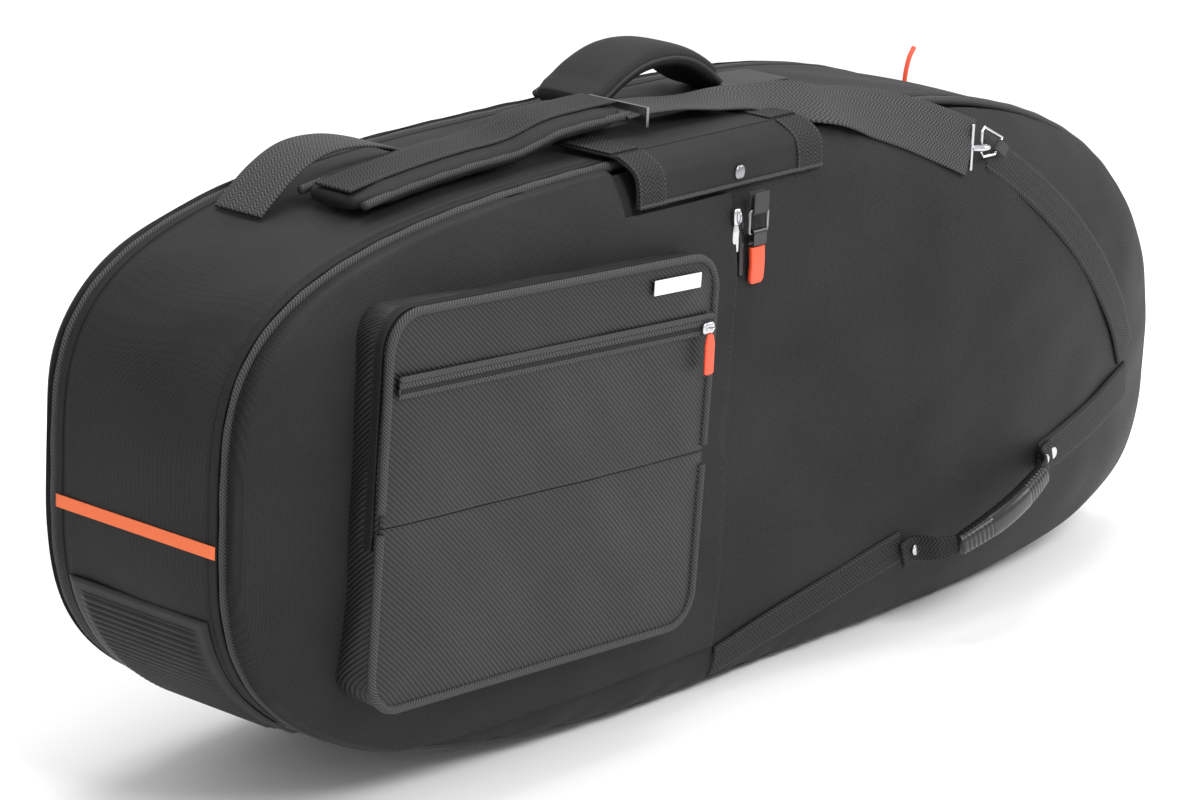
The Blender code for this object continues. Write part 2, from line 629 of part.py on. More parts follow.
# Webbing on the bell panel
on_panel("bell_band", [(0.262, 0.417), (0.335, 0.365), (0.415, 0.295), (0.468, 0.236), (0.493, 0.196)],
         WEBBING, TWILL)
on_panel("upper_handle_band", [(0.498, 0.166), (0.43, 0.152), (0.37, 0.140), (0.325, 0.131)], WEBBING, TWILL, count=10)
on_panel("lower_handle_band", [(0.150, 0.087), (0.07, 0.063), (0.0, 0.044), (-0.060, 0.027)], WEBBING * 0.85, TWILL,
         lift=0.0012)

# Carry handle
GRIP_HIGH = np.array([0.302, 0.129])
GRIP_LOW = np.array([0.302, 0.129]) - GRIP_LENGTH * np.array([0.955, 0.297])
grip_run = (GRIP_LOW - GRIP_HIGH) / GRIP_LENGTH
GRIP_OUT = max(float(dome(*GRIP_HIGH)), float(dome(*GRIP_LOW))) + 0.022
LOOP_T = 0.004
grip_points = []
for t in np.linspace(0, 1, 9):
    p = GRIP_HIGH + grip_run * GRIP_LENGTH * t
    grip_points.append((p[0], -GRIP_OUT - 0.008 * math.sin(math.pi * t), p[1]))
round_bar("grip", grip_points, GRIP_R, PLASTIC, 10)


def webbing_loop(name, anchor, end):
    """The folded webbing that holds one end of the grip: from the panel out to the grip's end."""
    foot_y = float(dome(*anchor)) + WEBBING_T + 2 * GAP + LOOP_T / 2
    start = np.array([anchor[0], -foot_y, anchor[1]])
    far = np.array([end[0], -GRIP_OUT, end[1]])
    middle = start * 0.5 + far * 0.5 + np.array([0, -0.004, 0])
    return ribbon(name, [start, middle, far], (-grip_run[1], 0, grip_run[0]), 0.024, LOOP_T, NYLON)


LOOP_GAP = 0.0035
upper_anchor = GRIP_HIGH - grip_run * 0.022
lower_anchor = GRIP_LOW + grip_run * 0.022
webbing_loop("upper_grip_loop", upper_anchor, GRIP_HIGH - grip_run * LOOP_GAP)
webbing_loop("lower_grip_loop", lower_anchor, GRIP_LOW + grip_run * LOOP_GAP)

# Shoulder strap along the top edge
strap_y = -0.020


def top_path(xs, lift, y):
    return [(x, y, top_z(x) + lift) for x in xs]


PAD_X0, PAD_X1 = -0.440, -0.120
pad_lift = GAP + 0.001 + PAD_T / 2
PAD_RISE = 0.010        # the pad lies over the storm flap at its right end
ribbon("shoulder_pad", top_path(np.linspace(PAD_X0, FLAP_X0 - 0.06, 7), pad_lift, strap_y)
       + top_path([FLAP_X0 - 0.015, (FLAP_X0 + PAD_X1) / 2, PAD_X1], pad_lift + PAD_RISE, strap_y),
       (0, 1, 0), PAD_W, PAD_T, NYLON)
ANCHOR_Y = 0.045
ribbon("strap_anchor", [(-0.452, ANCHOR_Y, top_z(-0.452) + 0.002), (-0.435, ANCHOR_Y, top_z(-0.435) + 0.014),
                        (-0.400, ANCHOR_Y, top_z(-0.40) + 0.026), (-0.360, ANCHOR_Y, top_z(-0.36) + 0.028),
                        (-0.325, ANCHOR_Y, top_z(-0.325) + 0.020), (-0.300, ANCHOR_Y, top_z(-0.30) + 0.004)],
       (0, 1, 0), STRAP_W, 0.003, TWILL)

# Strap webbing: over the top, then rolled over the front edge down to the snap hook
CLEAR = 0.003


def rolled(x, z, roll):
    """A place for the strap's middle at x and z, so far forward that its width clears the panel."""
    reach = []
    for k in np.linspace(-1, 1, 9):
        height = z - math.sin(roll) * STRAP_W / 2 * k
        if height < top_z(x) + CLEAR:
            reach.append(float(dome(x, height)) + CLEAR - math.cos(roll) * STRAP_W / 2 * k)
    return (x, -max(reach), z)


STRAP_Y = -0.037
LAY_Z = FLAP_CREST_Z + 0.0135
webbing_path = [(-0.112, STRAP_Y, LAY_Z + 0.004), (-0.07, STRAP_Y, LAY_Z + 0.003), (-0.02, STRAP_Y - 0.004, LAY_Z),
                (0.03, STRAP_Y - 0.012, LAY_Z - 0.002)]
webbing_roll = [0, 0, 0.05, 0.2]
for x, z, roll in ((0.08, 0.476, 0.5), (0.12, 0.465, 0.8), (0.16, 0.453, 1.0), (0.20, 0.437, 1.2),
                   (0.225, 0.426, 1.3)):
    webbing_path.append(rolled(x, z, roll))
    webbing_roll.append(roll)
ribbon("strap_webbing", webbing_path, [(0, math.cos(r), math.sin(r)) for r in webbing_roll], STRAP_W, 0.003, TWILL)
block("strap_adjuster", (-0.1165, STRAP_Y - 0.031, LAY_Z - 0.005), (-0.1135, STRAP_Y + 0.031, LAY_Z + 0.011), STEEL)

# Triangle ring, its keeper and the snap hook
ring_y = -(float(dome(0.244, 0.42)) + 0.011)
band_run = np.array([0.82, -0.573])
band_across = np.array([-band_run[1], band_run[0]])
RING_BAR = 0.0013
BAR_HALF = 0.008
ring_foot = np.array([0.268, 0.4205])
corner_a, corner_b = ring_foot + band_across * BAR_HALF, ring_foot - band_across * BAR_HALF
ring_far = [corner_a, corner_b, np.array([0.246, 0.414]), np.array([0.243, 0.418]), np.array([0.2425, 0.4365]),
            np.array([0.2455, 0.440])]
round_bar("triangle_ring", [(p[0], ring_y, p[1]) for p in ring_far], RING_BAR, STEEL, 8, loop=True)
wrap("ring_keeper", (ring_foot[0], ring_y, ring_foot[1]), (band_across[0], 0, band_across[1]),
     (band_run[0], 0, band_run[1]), 0.010, 0.012, TWILL, RING_BAR)
HOOK_R = 0.0016
hook_z = 0.4235
hook_path = [(0.2315, ring_y - 0.0010, hook_z), (0.234, ring_y - 0.0042, hook_z), (0.241, ring_y - 0.0050, hook_z),
             (0.247, ring_y - 0.0046, hook_z), (0.2505, ring_y - 0.0015, hook_z), (0.2490, ring_y + 0.0028, hook_z),
             (0.2455, ring_y + 0.0046, hook_z)]
round_bar("snap_hook", hook_path, HOOK_R, STEEL)

# Backpack strap: a padded arch behind the shoulder strap
ARCH_Y = 0.034
ARCH_W = 0.066
ARCH_T = 0.018
arch = [(-0.100, 0.4805), (-0.085, 0.487), (-0.062, 0.500), (-0.036, 0.509), (-0.008, 0.511), (0.020, 0.506),
        (0.045, 0.494), (0.062, 0.481)]
ribbon("backpack_pad", [(x, ARCH_Y, z) for x, z in arch], (0, 1, 0), ARCH_W, ARCH_T, NYLON)
ribbon("backpack_webbing", top_path(np.linspace(0.078, 0.160, 5), 0.0025, ARCH_Y - 0.004), (0, 1, 0), STRAP_W, 0.003, TWILL)

# Tie strap inside, on the padding
block("tie_strap", (0.02, -0.06, 0.0175), (0.058, 0.06, 0.020), TWILL)
rivet_x, rivet_z = 0.345, 0.1355
disc("handle_rivet", (rivet_x, -(float(dome(rivet_x, rivet_z)) + WEBBING_T + 0.0016), rivet_z), 0.0055, 0.002, STEEL)
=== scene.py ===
# %% [markdown]
# A soft gig bag for a tuba lies on its long edge, seen a little from above and from its small end.
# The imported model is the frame: every piece made here sits where its solid sits and rides on its body.
# Lengths are in metres, +X runs to the bell end, +Y to the back lid and +Z up.

# %%
import math

import bmesh
import bpy
import numpy as np
from mathutils import Matrix, Vector


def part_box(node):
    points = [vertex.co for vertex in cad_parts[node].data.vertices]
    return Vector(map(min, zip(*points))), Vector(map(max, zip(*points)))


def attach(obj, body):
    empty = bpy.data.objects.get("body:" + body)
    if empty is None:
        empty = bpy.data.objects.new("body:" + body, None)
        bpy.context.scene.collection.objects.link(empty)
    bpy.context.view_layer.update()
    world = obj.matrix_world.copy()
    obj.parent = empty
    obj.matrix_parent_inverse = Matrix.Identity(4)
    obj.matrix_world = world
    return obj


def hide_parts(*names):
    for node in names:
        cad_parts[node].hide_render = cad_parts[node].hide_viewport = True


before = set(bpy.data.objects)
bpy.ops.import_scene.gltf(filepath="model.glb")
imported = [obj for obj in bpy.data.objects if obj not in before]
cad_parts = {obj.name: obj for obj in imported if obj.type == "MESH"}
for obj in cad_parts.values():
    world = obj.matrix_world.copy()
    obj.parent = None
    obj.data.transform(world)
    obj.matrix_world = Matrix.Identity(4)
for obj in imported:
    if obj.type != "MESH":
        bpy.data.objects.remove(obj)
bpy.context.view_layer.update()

# %% [markdown]
# The shape of the bag comes from a few sizes. Its outline is four quarter superellipses, and each
# panel is a dome over it: a general puff, and a bulge on top of that where the bell lies.

# %%
LENGTH, HEIGHT = 1.20, 0.47
HALF = LENGTH / 2
CREST_X, FOOT_X = 0.08, 0.06
SMALL_Z, BELL_Z = 0.25, 0.17
FLOOR_CUT = 0.002
GUSSET_HALF = 0.078
PIPING_R = 0.0042
EDGE = 0.0946
PUFF, BULGE = 0.032, 0.050
BULGE_START, BULGE_FULL = -0.10, 0.34
MIDDLE = np.array([0.04, 0.235])
SPLIT_X, HINGE_Z = -0.075, 0.05
NOTCH_X, NOTCH_Z = -0.205, 0.429
WEB_W, WEB_T = 0.038, 0.0022        # sewn webbing
STRAP_W, STRAP_T = 0.050, 0.0026    # loose strap webbing
RING_COUNT = 480                    # points round the outline, every third of the fine line


def quarter(cx, cz, rx, rz, power, start):
    """(cx + rx sgn(c)|c|^(2/n), cz + rz sgn(s)|s|^(2/n)) for a quarter turn from start."""
    a = start + np.linspace(0, math.pi / 2, 300, endpoint=False)
    c, s = np.cos(a), np.sin(a)
    return np.column_stack([cx + rx * np.sign(c) * abs(c) ** (2 / power),
                            cz + rz * np.sign(s) * abs(s) ** (2 / power)])


def spaced(points, count, closed=True):
    """The same line with count points at equal steps along it."""
    line = np.vstack([points, points[:1]]) if closed else np.asarray(points, float)
    along = np.concatenate([[0], np.cumsum(np.linalg.norm(np.diff(line, axis=0), axis=1))])
    at = np.linspace(0, along[-1], count, endpoint=not closed)
    return np.column_stack([np.interp(at, along, line[:, k]) for k in range(line.shape[1])])


FINE = spaced(np.vstack([
    quarter(CREST_X, BELL_Z, HALF - CREST_X, HEIGHT - BELL_Z, 2.3, 0),
    quarter(CREST_X, SMALL_Z, HALF + CREST_X, HEIGHT - SMALL_Z, 4.0, math.pi / 2),
    quarter(FOOT_X, SMALL_Z, HALF + FOOT_X, SMALL_Z, 2.8, math.pi),
    quarter(FOOT_X, BELL_Z, HALF - FOOT_X, BELL_Z, 3.6, 1.5 * math.pi)]), 1440)
STEP = np.roll(FINE, -1, axis=0) - np.roll(FINE, 1, axis=0)
OUT = np.column_stack([STEP[:, 1], -STEP[:, 0]]) / np.linalg.norm(STEP, axis=1)[:, None]


def outline(inset):
    """The outline drawn in by inset, with its bottom flattened by the floor."""
    p = (FINE - OUT * inset)[::3].copy()
    p[:, 1] = np.maximum(p[:, 1], FLOOR_CUT + inset) - FLOOR_CUT
    return p


SPOKE = FINE - MIDDLE
SPOKE_ANGLE = np.arctan2(SPOKE[:, 1], SPOKE[:, 0])
SPOKE_ORDER = np.argsort(SPOKE_ANGLE)
SPOKE_LENGTH = np.hypot(SPOKE[:, 0], SPOKE[:, 1])[SPOKE_ORDER]
SPOKE_ANGLE = SPOKE_ANGLE[SPOKE_ORDER]


def share(x, z):
    """0 at the middle of a panel and 1 at its edge."""
    dx, dz = x - MIDDLE[0], z + FLOOR_CUT - MIDDLE[1]
    return np.hypot(dx, dz) / np.interp(np.arctan2(dz, dx), SPOKE_ANGLE, SPOKE_LENGTH, period=2 * math.pi)


def dome(x, z):
    """Distance of a panel's face from the middle plane: EDGE + PUFF (1 - s^8) + BULGE (1 - s^3)^1.3 smoothstep."""
    x, z = np.asarray(x, float), np.asarray(z, float)
    s = np.clip(share(x, z), 0, 1)
    t = np.clip((x - BULGE_START) / (BULGE_FULL - BULGE_START), 0, 1)
    return EDGE + PUFF * (1 - s ** 8) + BULGE * (1 - s ** 3) ** 1.3 * t * t * (3 - 2 * t)


def top_z(x):
    """Height of the top edge at x."""
    upper = FINE[FINE[:, 1] > 0.3]
    upper = upper[np.argsort(upper[:, 0])]
    return np.interp(x, upper[:, 0], upper[:, 1]) - FLOOR_CUT


print("the outline is", round(float(np.linalg.norm(np.diff(FINE, axis=0), axis=1).sum()), 3), "m round")

# %% [markdown]
# Shader maths is written as expressions. `Val` wraps a socket and adds a Math node for each operator;
# `Shop` makes one material, and its `node` method adds any other node.

# %%


class Val:
    def __init__(self, shop, socket):
        self.shop, self.socket = shop, socket

    def math(self, operation, *others):
        values = {k: v for k, v in enumerate((self,) + others)}
        return self.shop.node("ShaderNodeMath", {"operation": operation}, values)

    def __add__(self, other):
        return self.math("ADD", other)

    def __sub__(self, other):
        return self.math("SUBTRACT", other)

    def __rsub__(self, other):
        return self.shop.node("ShaderNodeMath", {"operation": "SUBTRACT"}, {0: other, 1: self})

    def __mul__(self, other):
        return self.math("MULTIPLY", other)

    def __gt__(self, other):
        return self.math("GREATER_THAN", other)

    def __lt__(self, other):
        return self.math("LESS_THAN", other)

    __radd__, __rmul__ = __add__, __mul__

    def wave(self, period):
        """0 to 1 and back once every period metres."""
        return (self * (2 * math.pi / period)).math("SINE") * 0.5 + 0.5


class Shop:
    def __init__(self, name, rough=0.7, metal=0.0, shine=0.5):
        self.mat = bpy.data.materials.new(name)
        self.mat.use_nodes = True
        self.tree = self.mat.node_tree
        self.shader = self.tree.nodes["Principled BSDF"]
        self.shader.inputs["Roughness"].default_value = rough
        self.shader.inputs["Metallic"].default_value = metal
        self.shader.inputs["Specular IOR Level"].default_value = shine

    def put(self, socket, value):
        if isinstance(value, Val):
            self.tree.links.new(value.socket, socket)
        else:
            socket.default_value = value

    def node(self, kind, settings=None, values=None, out=0):
        made = self.tree.nodes.new(kind)
        for key, value in (settings or {}).items():
            setattr(made, key, value)
        for key, value in (values or {}).items():
            self.put(made.inputs[key], value)
        return Val(self, made.outputs[out])

    def place(self, source):
        """X, Y and Z of the Object coordinates, or of the UV map, as three values."""
        at = self.node("ShaderNodeTexCoord", out=source)
        split = self.node("ShaderNodeSeparateXYZ", {}, {0: at}).socket.node
        return at, [Val(self, split.outputs[k]) for k in range(3)]

    def noise(self, at, scale, detail=3.0):
        return self.node("ShaderNodeTexNoise", {}, {"Vector": at, "Scale": scale, "Detail": detail})

    def mix(self, share_of, low, high):
        """From one colour to another as share_of goes from 0 to 1."""
        made = self.node("ShaderNodeMix", {"data_type": "RGBA"}, {0: share_of, 6: (*low, 1), 7: (*high, 1)}, out=2)
        return made

    def finish(self, colour=None, height=None, depth=0.0003, strength=1.0, rough=None):
        if colour is not None:
            self.put(self.shader.inputs["Base Color"], colour if isinstance(colour, Val) else (*colour, 1))
        if height is not None:
            bump = self.node("ShaderNodeBump", {}, {"Height": height, "Distance": depth, "Strength": strength})
            self.put(self.shader.inputs["Normal"], bump)
        if rough is not None:
            self.put(self.shader.inputs["Roughness"], rough)
        return self.mat


def grey(v):
    return (v, v, v * 1.03)


# %% [markdown]
# The materials are plain-woven nylon for the shell, ribbed webbing and twill, a shiny diagonal twill for
# the pocket, moulded rubber, nickel, and the orange of the pulls. Threads are bumps with a slight change of tone.

# %%


def nylon(name, dark, light):
    """Plain weave on Object coordinates, with soft mottling and a little dust."""
    s = Shop(name, 0.55, shine=0.10)
    at, (x, y, z) = s.place("Object")
    weave = (x + y * 0.5).wave(0.0021) * (z + y * 0.5).wave(0.0021)
    cloud = s.noise(at, 9.0)
    fleck = s.noise(at, 420.0, 1.0)
    tone = (cloud * 0.5 + weave * 0.35 + fleck * 0.25)
    return s.finish(s.mix(tone, dark, light), weave + s.noise(at, 60.0) * 0.8, 0.0005, 0.35)


def webbing(name, dark, light, pitch=0.0034, chevron=True):
    """Webbing on the UV map: U runs along it and V across, both in metres."""
    s = Shop(name, 0.6, shine=0.16)
    at, (u, v, _) = s.place("UV")
    slant = v.math("PINGPONG", 0.0048) if chevron else v
    rib = (u + slant * 0.9).wave(pitch)
    cross = v.wave(0.0016)
    tone = rib * 0.7 + cross * 0.3
    return s.finish(s.mix(tone, dark, light), rib + cross * 0.4, 0.0006, 0.7)


def pocket_twill(name):
    """Fine diagonal twill with a sheen."""
    s = Shop(name, 0.34, shine=0.26)
    at, (x, y, z) = s.place("Object")
    line = (x + z * 1.0 + y).wave(0.0046)
    thread = (x - z).wave(0.0019)
    cloud = s.noise(at, 14.0)
    rough = 0.30 + cloud * 0.22
    return s.finish(s.mix(line * 0.75 + thread * 0.2, grey(0.001), grey(0.030)), line + s.noise(at, 45.0) * 0.6,
                    0.0005, 0.45, rough)


def plain(name, colour, rough, metal=0.0, grain=300.0, bump=0.15):
    """A moulded or plated surface with a fine grain and slight wear."""
    s = Shop(name, rough, metal)
    at, _ = s.place("Object")
    n = s.noise(at, grain, 2.0)
    wear = s.noise(at, 40.0)
    low = tuple(c * 0.8 for c in colour)
    return s.finish(s.mix(wear, low, colour), n, 0.0003, bump, n * 0.12 + (rough - 0.06))


def zipper(name):
    """Twill tape with a row of small teeth down its middle, on the UV map."""
    s = Shop(name, 0.6, shine=0.16)
    at, (u, v, _) = s.place("UV")
    near = (v - 0.5).math("ABSOLUTE") < 0.16
    tooth = near * u.wave(0.0024)
    rib = u.wave(0.0013)
    return s.finish(s.mix(tooth * 0.7 + rib * 0.2, grey(0.005), grey(0.075)), tooth + rib * 0.3, 0.0008, 0.8)


def stitched(name, dark, light, pitch=0.0034, inset=0.0035, width=0.036):
    """Webbing with a row of stitches near each edge."""
    s = Shop(name, 0.6, shine=0.16)
    at, (u, v, _) = s.place("UV")
    rib = (u + v.math("PINGPONG", 0.0048) * 0.9).wave(pitch)
    edge = (v.math("ABSOLUTE") - (width / 2 - inset)).math("ABSOLUTE") < 0.0006
    stitch = edge * (u.wave(0.0042) > 0.3)
    tone = rib * 0.6 + stitch * 0.6
    return s.finish(s.mix(tone, dark, light), rib - stitch * 0.8, 0.0006, 0.7)


def ribbed(name):
    """Moulded rubber with a flat stitched border; its ribs are in the mesh."""
    s = Shop(name, 0.5, shine=0.25)
    at, _ = s.place("Object")
    n = s.noise(at, 240.0)
    dust = s.noise(at, 30.0)
    return s.finish(s.mix(dust, grey(0.006), grey(0.022)), n, 0.0003, 0.2)


NYLON = nylon("shell nylon", grey(0.006), grey(0.034))
NYLON_DARK = nylon("dark nylon", grey(0.004), grey(0.018))
TWILL = webbing("twill piping", grey(0.010), grey(0.085), 0.0028, False)
WEB = webbing("strap webbing", grey(0.006), grey(0.085))
WEB_SEWN = stitched("sewn webbing", grey(0.006), grey(0.050))
POCKET = pocket_twill("pocket twill")
ZIP = zipper("zip")
FOAM = plain("foam", grey(0.05), 0.9)
ORANGE = plain("orange rubber", (0.86, 0.085, 0.030), 0.45, bump=0.08)
ORANGE_CLOTH = webbing("orange tape", (0.80, 0.13, 0.05), (0.95, 0.24, 0.09), 0.002, False)
NICKEL = plain("nickel", grey(0.62), 0.24, 1.0, 120.0, 0.05)
GUNMETAL = plain("gunmetal", grey(0.33), 0.3, 1.0, 120.0, 0.05)
PLASTIC = plain("black plastic", grey(0.012), 0.28)
RUBBER = ribbed("kick rubber")
WHITE = plain("label cloth", (0.82, 0.82, 0.82), 0.55)
print(len(bpy.data.materials), "materials")

# %% [markdown]
# Every new piece is a grid of points computed with numpy. `sheet_of` turns one into a mesh with a UV map in
# metres along its rows and columns. `add` gives it its body and hides the solid that it stands for.

# %%
made = []


def sheet_of(name, grid, mat, wrap_rows=False, wrap_cols=False, unit_v=False):
    """A mesh from points[i, j]; wrapped directions are joined up, others stay open."""
    grid = np.asarray(grid, float)
    n, m = grid.shape[:2]
    ni, mj = (n if wrap_rows else n - 1), (m if wrap_cols else m - 1)
    i, j = np.meshgrid(np.arange(ni), np.arange(mj), indexing="ij")
    i, j = i.ravel(), j.ravel()
    i2, j2 = (i + 1) % n, (j + 1) % m
    quads = np.column_stack([i * m + j, i2 * m + j, i2 * m + j2, i * m + j2])
    mesh = bpy.data.meshes.new(name)
    mesh.from_pydata(grid.reshape(-1, 3).tolist(), [], quads.tolist())
    ring = np.concatenate([grid, grid[:1]]) if wrap_rows else grid
    u = np.concatenate([[0], np.cumsum(np.linalg.norm(np.diff(ring, axis=0), axis=2).mean(axis=1))])
    band = np.concatenate([ring, ring[:, :1]], axis=1) if wrap_cols else ring
    v = np.concatenate([[0], np.cumsum(np.linalg.norm(np.diff(band, axis=1), axis=2).mean(axis=0))])
    if unit_v:
        v = v / v[-1]
    uv = np.stack([np.column_stack([u[i + a], v[j + b]]) for a, b in ((0, 0), (1, 0), (1, 1), (0, 1))], axis=1)
    layer = mesh.uv_layers.new(name="UVMap")
    layer.data.foreach_set("uv", uv.reshape(-1).astype(np.float32))
    mesh.polygons.foreach_set("use_smooth", [True] * len(mesh.polygons))
    mesh.materials.append(mat)
    mesh.update()
    obj = bpy.data.objects.new(name, mesh)
    bpy.context.scene.collection.objects.link(obj)
    return obj


def outwards(obj):
    """Closes open ends and turns every face outwards."""
    body = bmesh.new()
    body.from_mesh(obj.data)
    holes = [e for e in body.edges if e.is_boundary]
    if holes:
        bmesh.ops.holes_fill(body, edges=holes, sides=0)
    bmesh.ops.recalc_face_normals(body, faces=body.faces)
    body.to_mesh(obj.data)
    body.free()
    return obj


def add(obj, body, slot, *nodes, soft=None):
    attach(obj, body)
    if nodes:
        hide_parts(*nodes)
    made.append(obj.name)
    return obj


def curve(points, count):
    """A smooth line through points: cubic Hermite pieces with the slope at each point."""
    p = np.asarray(points, float)
    t = np.concatenate([[0], np.cumsum(np.linalg.norm(np.diff(p[:, :3], axis=0), axis=1))])
    slope = np.gradient(p, t, axis=0)
    at = np.linspace(0, t[-1], count)
    k = np.clip(np.searchsorted(t, at, side="right") - 1, 0, len(t) - 2)
    h = (t[k + 1] - t[k])[:, None]
    s = ((at - t[k]) / (t[k + 1] - t[k]))[:, None]
    return ((2 * s ** 3 - 3 * s ** 2 + 1) * p[k] + (s ** 3 - 2 * s ** 2 + s) * h * slope[k]
            + (-2 * s ** 3 + 3 * s ** 2) * p[k + 1] + (s ** 3 - s ** 2) * h * slope[k + 1])


def unit(v):
    return v / np.linalg.norm(v, axis=-1, keepdims=True)


def strap(name, points, across, width, thick, mat, count=90, around=28, power=5.0, swell=None):
    """A band along points: its section is a superellipse, width across and thick high."""
    points = np.asarray(points, float)
    across = np.broadcast_to(np.asarray(across, float), points.shape)
    both = curve(np.hstack([points, across]), count)
    p, a = both[:, :3], unit(both[:, 3:])
    run = unit(np.gradient(p, axis=0))
    a = unit(a - run * np.sum(a * run, axis=1, keepdims=True))
    up = np.cross(run, a)
    turn = np.linspace(0, 2 * math.pi, around, endpoint=False)
    c = np.sign(np.cos(turn)) * abs(np.cos(turn)) ** (2 / power) * width / 2
    s = np.sign(np.sin(turn)) * abs(np.sin(turn)) ** (2 / power) * thick / 2
    scale = np.ones(count) if swell is None else swell(np.linspace(0, 1, count))
    grid = (p[:, None] + a[:, None] * (c[None, :, None] * scale[:, None, None])
            + up[:, None] * (s[None, :, None] * scale[:, None, None]))
    obj = sheet_of(name, grid, mat, wrap_cols=True)
    middle = np.tile(c, (count, 1)).reshape(-1)
    set_v(obj, middle)
    return outwards(obj)


def set_v(obj, values):
    """Puts the distance from the band's middle line into V."""
    mesh = obj.data
    index = np.empty(len(mesh.loops), int)
    mesh.loops.foreach_get("vertex_index", index)
    uv = np.empty(len(mesh.loops) * 2, np.float32)
    mesh.uv_layers[0].data.foreach_get("uv", uv)
    uv = uv.reshape(-1, 2)
    uv[:, 1] = values[index]
    mesh.uv_layers[0].data.foreach_set("uv", uv.reshape(-1))


def bar(name, points, radius, mat, closed=False, count=80, sides=16):
    """A round bar along points; radius may change along it."""
    points = np.asarray(points, float)
    if closed:
        line = spaced(points, count)
        for _ in range(4):
            line = (np.roll(line, 1, axis=0) + 2 * line + np.roll(line, -1, axis=0)) / 4
        run = unit(np.roll(line, -1, axis=0) - np.roll(line, 1, axis=0))
    else:
        line = curve(points, count)
        run = unit(np.gradient(line, axis=0))
    flat = np.linalg.svd(line - line.mean(axis=0))[2][-1]
    if abs(run @ flat).max() > 0.9:
        flat = np.array([0.0, 0.0, 1.0]) if abs(run[0, 2]) < 0.7 else np.array([0.0, 1.0, 0.0])
    side = unit(np.cross(run, flat))
    up = np.cross(run, side)
    turn = np.linspace(0, 2 * math.pi, sides, endpoint=False)
    r = np.broadcast_to(np.asarray(radius, float), (count,))[:, None, None]
    circle = side[:, None] * np.cos(turn)[None, :, None] + up[:, None] * np.sin(turn)[None, :, None]
    grid = line[:, None] + r * circle
    return outwards(sheet_of(name, grid, mat, wrap_rows=closed, wrap_cols=True))


# %% [markdown]
# The cloth isn't smooth. `creases` adds soft folds: long ones along the panel, short puckers where it is
# sewn into the piping, and a few dents. It is a sum of sines with fixed phases, so it is the same each time.

# %%
rng = np.random.default_rng(7)
PHASE = rng.uniform(0, 2 * math.pi, (10,))
TURN = rng.uniform(0, math.pi, (10,))


def creases(x, z, side):
    """Height of the folds in metres; zero at the very edge."""
    s = np.clip(share(x, z), 0, 1)
    total = np.zeros_like(s)
    for k in range(10):
        along = x * np.cos(TURN[k]) + z * np.sin(TURN[k]) * 1.6
        total += np.sin(along * (16 + 7 * k) + PHASE[k] + side) / (1 + 0.6 * k)
    angle = np.arctan2(z - MIDDLE[1], x - MIDDLE[0])
    pucker = np.sin(angle * 46 + 2 * np.sin(angle * 5) + side) * np.exp(-((1 - s) / 0.07) ** 2)
    return (total * 0.0011 + pucker * 0.0011) * np.clip((1 - s) / 0.05, 0, 1)


def panel_grid(side, inset, rings=64):
    """A domed panel from its middle out to its rim, along spokes."""
    rim = outline(inset)
    centre = MIDDLE - [0, FLOOR_CUT]
    s = 1 - (1 - np.linspace(0.012, 1, rings)) ** 1.35
    p = centre + (rim[None] - centre) * s[:, None, None]
    y = dome(p[..., 0], p[..., 1]) + creases(p[..., 0], p[..., 1], side)
    return np.stack([p[..., 0], side * y, p[..., 1]], axis=-1)


def in_door(x, z):
    return (x < SPLIT_X) & (z > HINGE_Z) & ~((x > NOTCH_X) & (z > NOTCH_Z))


def in_bell(x, z):
    return ~in_door(x, z)


def above(x, z):
    return z > HINGE_Z


def below(x, z):
    return z < HINGE_Z


def keep(obj, planes, wanted):
    """Cuts the mesh along planes (point, normal) and keeps the faces whose middle is wanted."""
    body = bmesh.new()
    body.from_mesh(obj.data)
    for point, normal in planes:
        bmesh.ops.bisect_plane(body, geom=body.verts[:] + body.edges[:] + body.faces[:], plane_co=point,
                               plane_no=normal, dist=1e-6)
    centres = np.array([f.calc_center_median()[:] for f in body.faces])
    drop = [f for f, w in zip(body.faces, wanted(centres[:, 0], centres[:, 2])) if not w]
    bmesh.ops.delete(body, geom=drop, context="FACES")
    body.to_mesh(obj.data)
    body.free()
    return obj


FRONT_CUTS = [((SPLIT_X, 0, 0), (1, 0, 0)), ((NOTCH_X, 0, 0), (1, 0, 0)), ((0, 0, HINGE_Z), (0, 0, 1)),
              ((0, 0, NOTCH_Z), (0, 0, 1))]
BACK_CUTS = [((0, 0, HINGE_Z), (0, 0, 1))]
RIM = 2 * PIPING_R - 0.001
PIPING_Y = 0.0896


def thicken(obj, thick):
    """Gives a face sheet its wall, inwards."""
    step = obj.modifiers.new("wall", "SOLIDIFY")
    step.thickness, step.offset = thick, -1
    return obj


def face_out(obj, side):
    body = bmesh.new()
    body.from_mesh(obj.data)
    bmesh.ops.recalc_face_normals(body, faces=body.faces)
    body.faces.ensure_lookup_table()
    total = sum(f.normal.y * f.calc_area() for f in body.faces)
    if total * side < 0:
        bmesh.ops.reverse_faces(body, faces=body.faces)
    body.to_mesh(obj.data)
    body.free()
    return obj


def piping(name, side):
    """The round edge that follows the outline."""
    line = outline(PIPING_R)
    p = np.column_stack([line[:, 0], np.full(RING_COUNT, side * PIPING_Y), line[:, 1]])
    n = OUT[::3]
    turn = np.linspace(0, 2 * math.pi, 14, endpoint=False)
    out = np.column_stack([n[:, 0], np.zeros(RING_COUNT), n[:, 1]])
    ruck = 1 + 0.05 * np.sin(np.arange(RING_COUNT) * 0.9)[:, None, None]
    outward = out[:, None] * np.cos(turn)[None, :, None]
    sideways = np.array([0, 1.0, 0]) * np.sin(turn)[None, :, None]
    grid = p[:, None] + PIPING_R * ruck * (outward + sideways)
    return sheet_of(name, grid, TWILL, wrap_rows=True, wrap_cols=True)


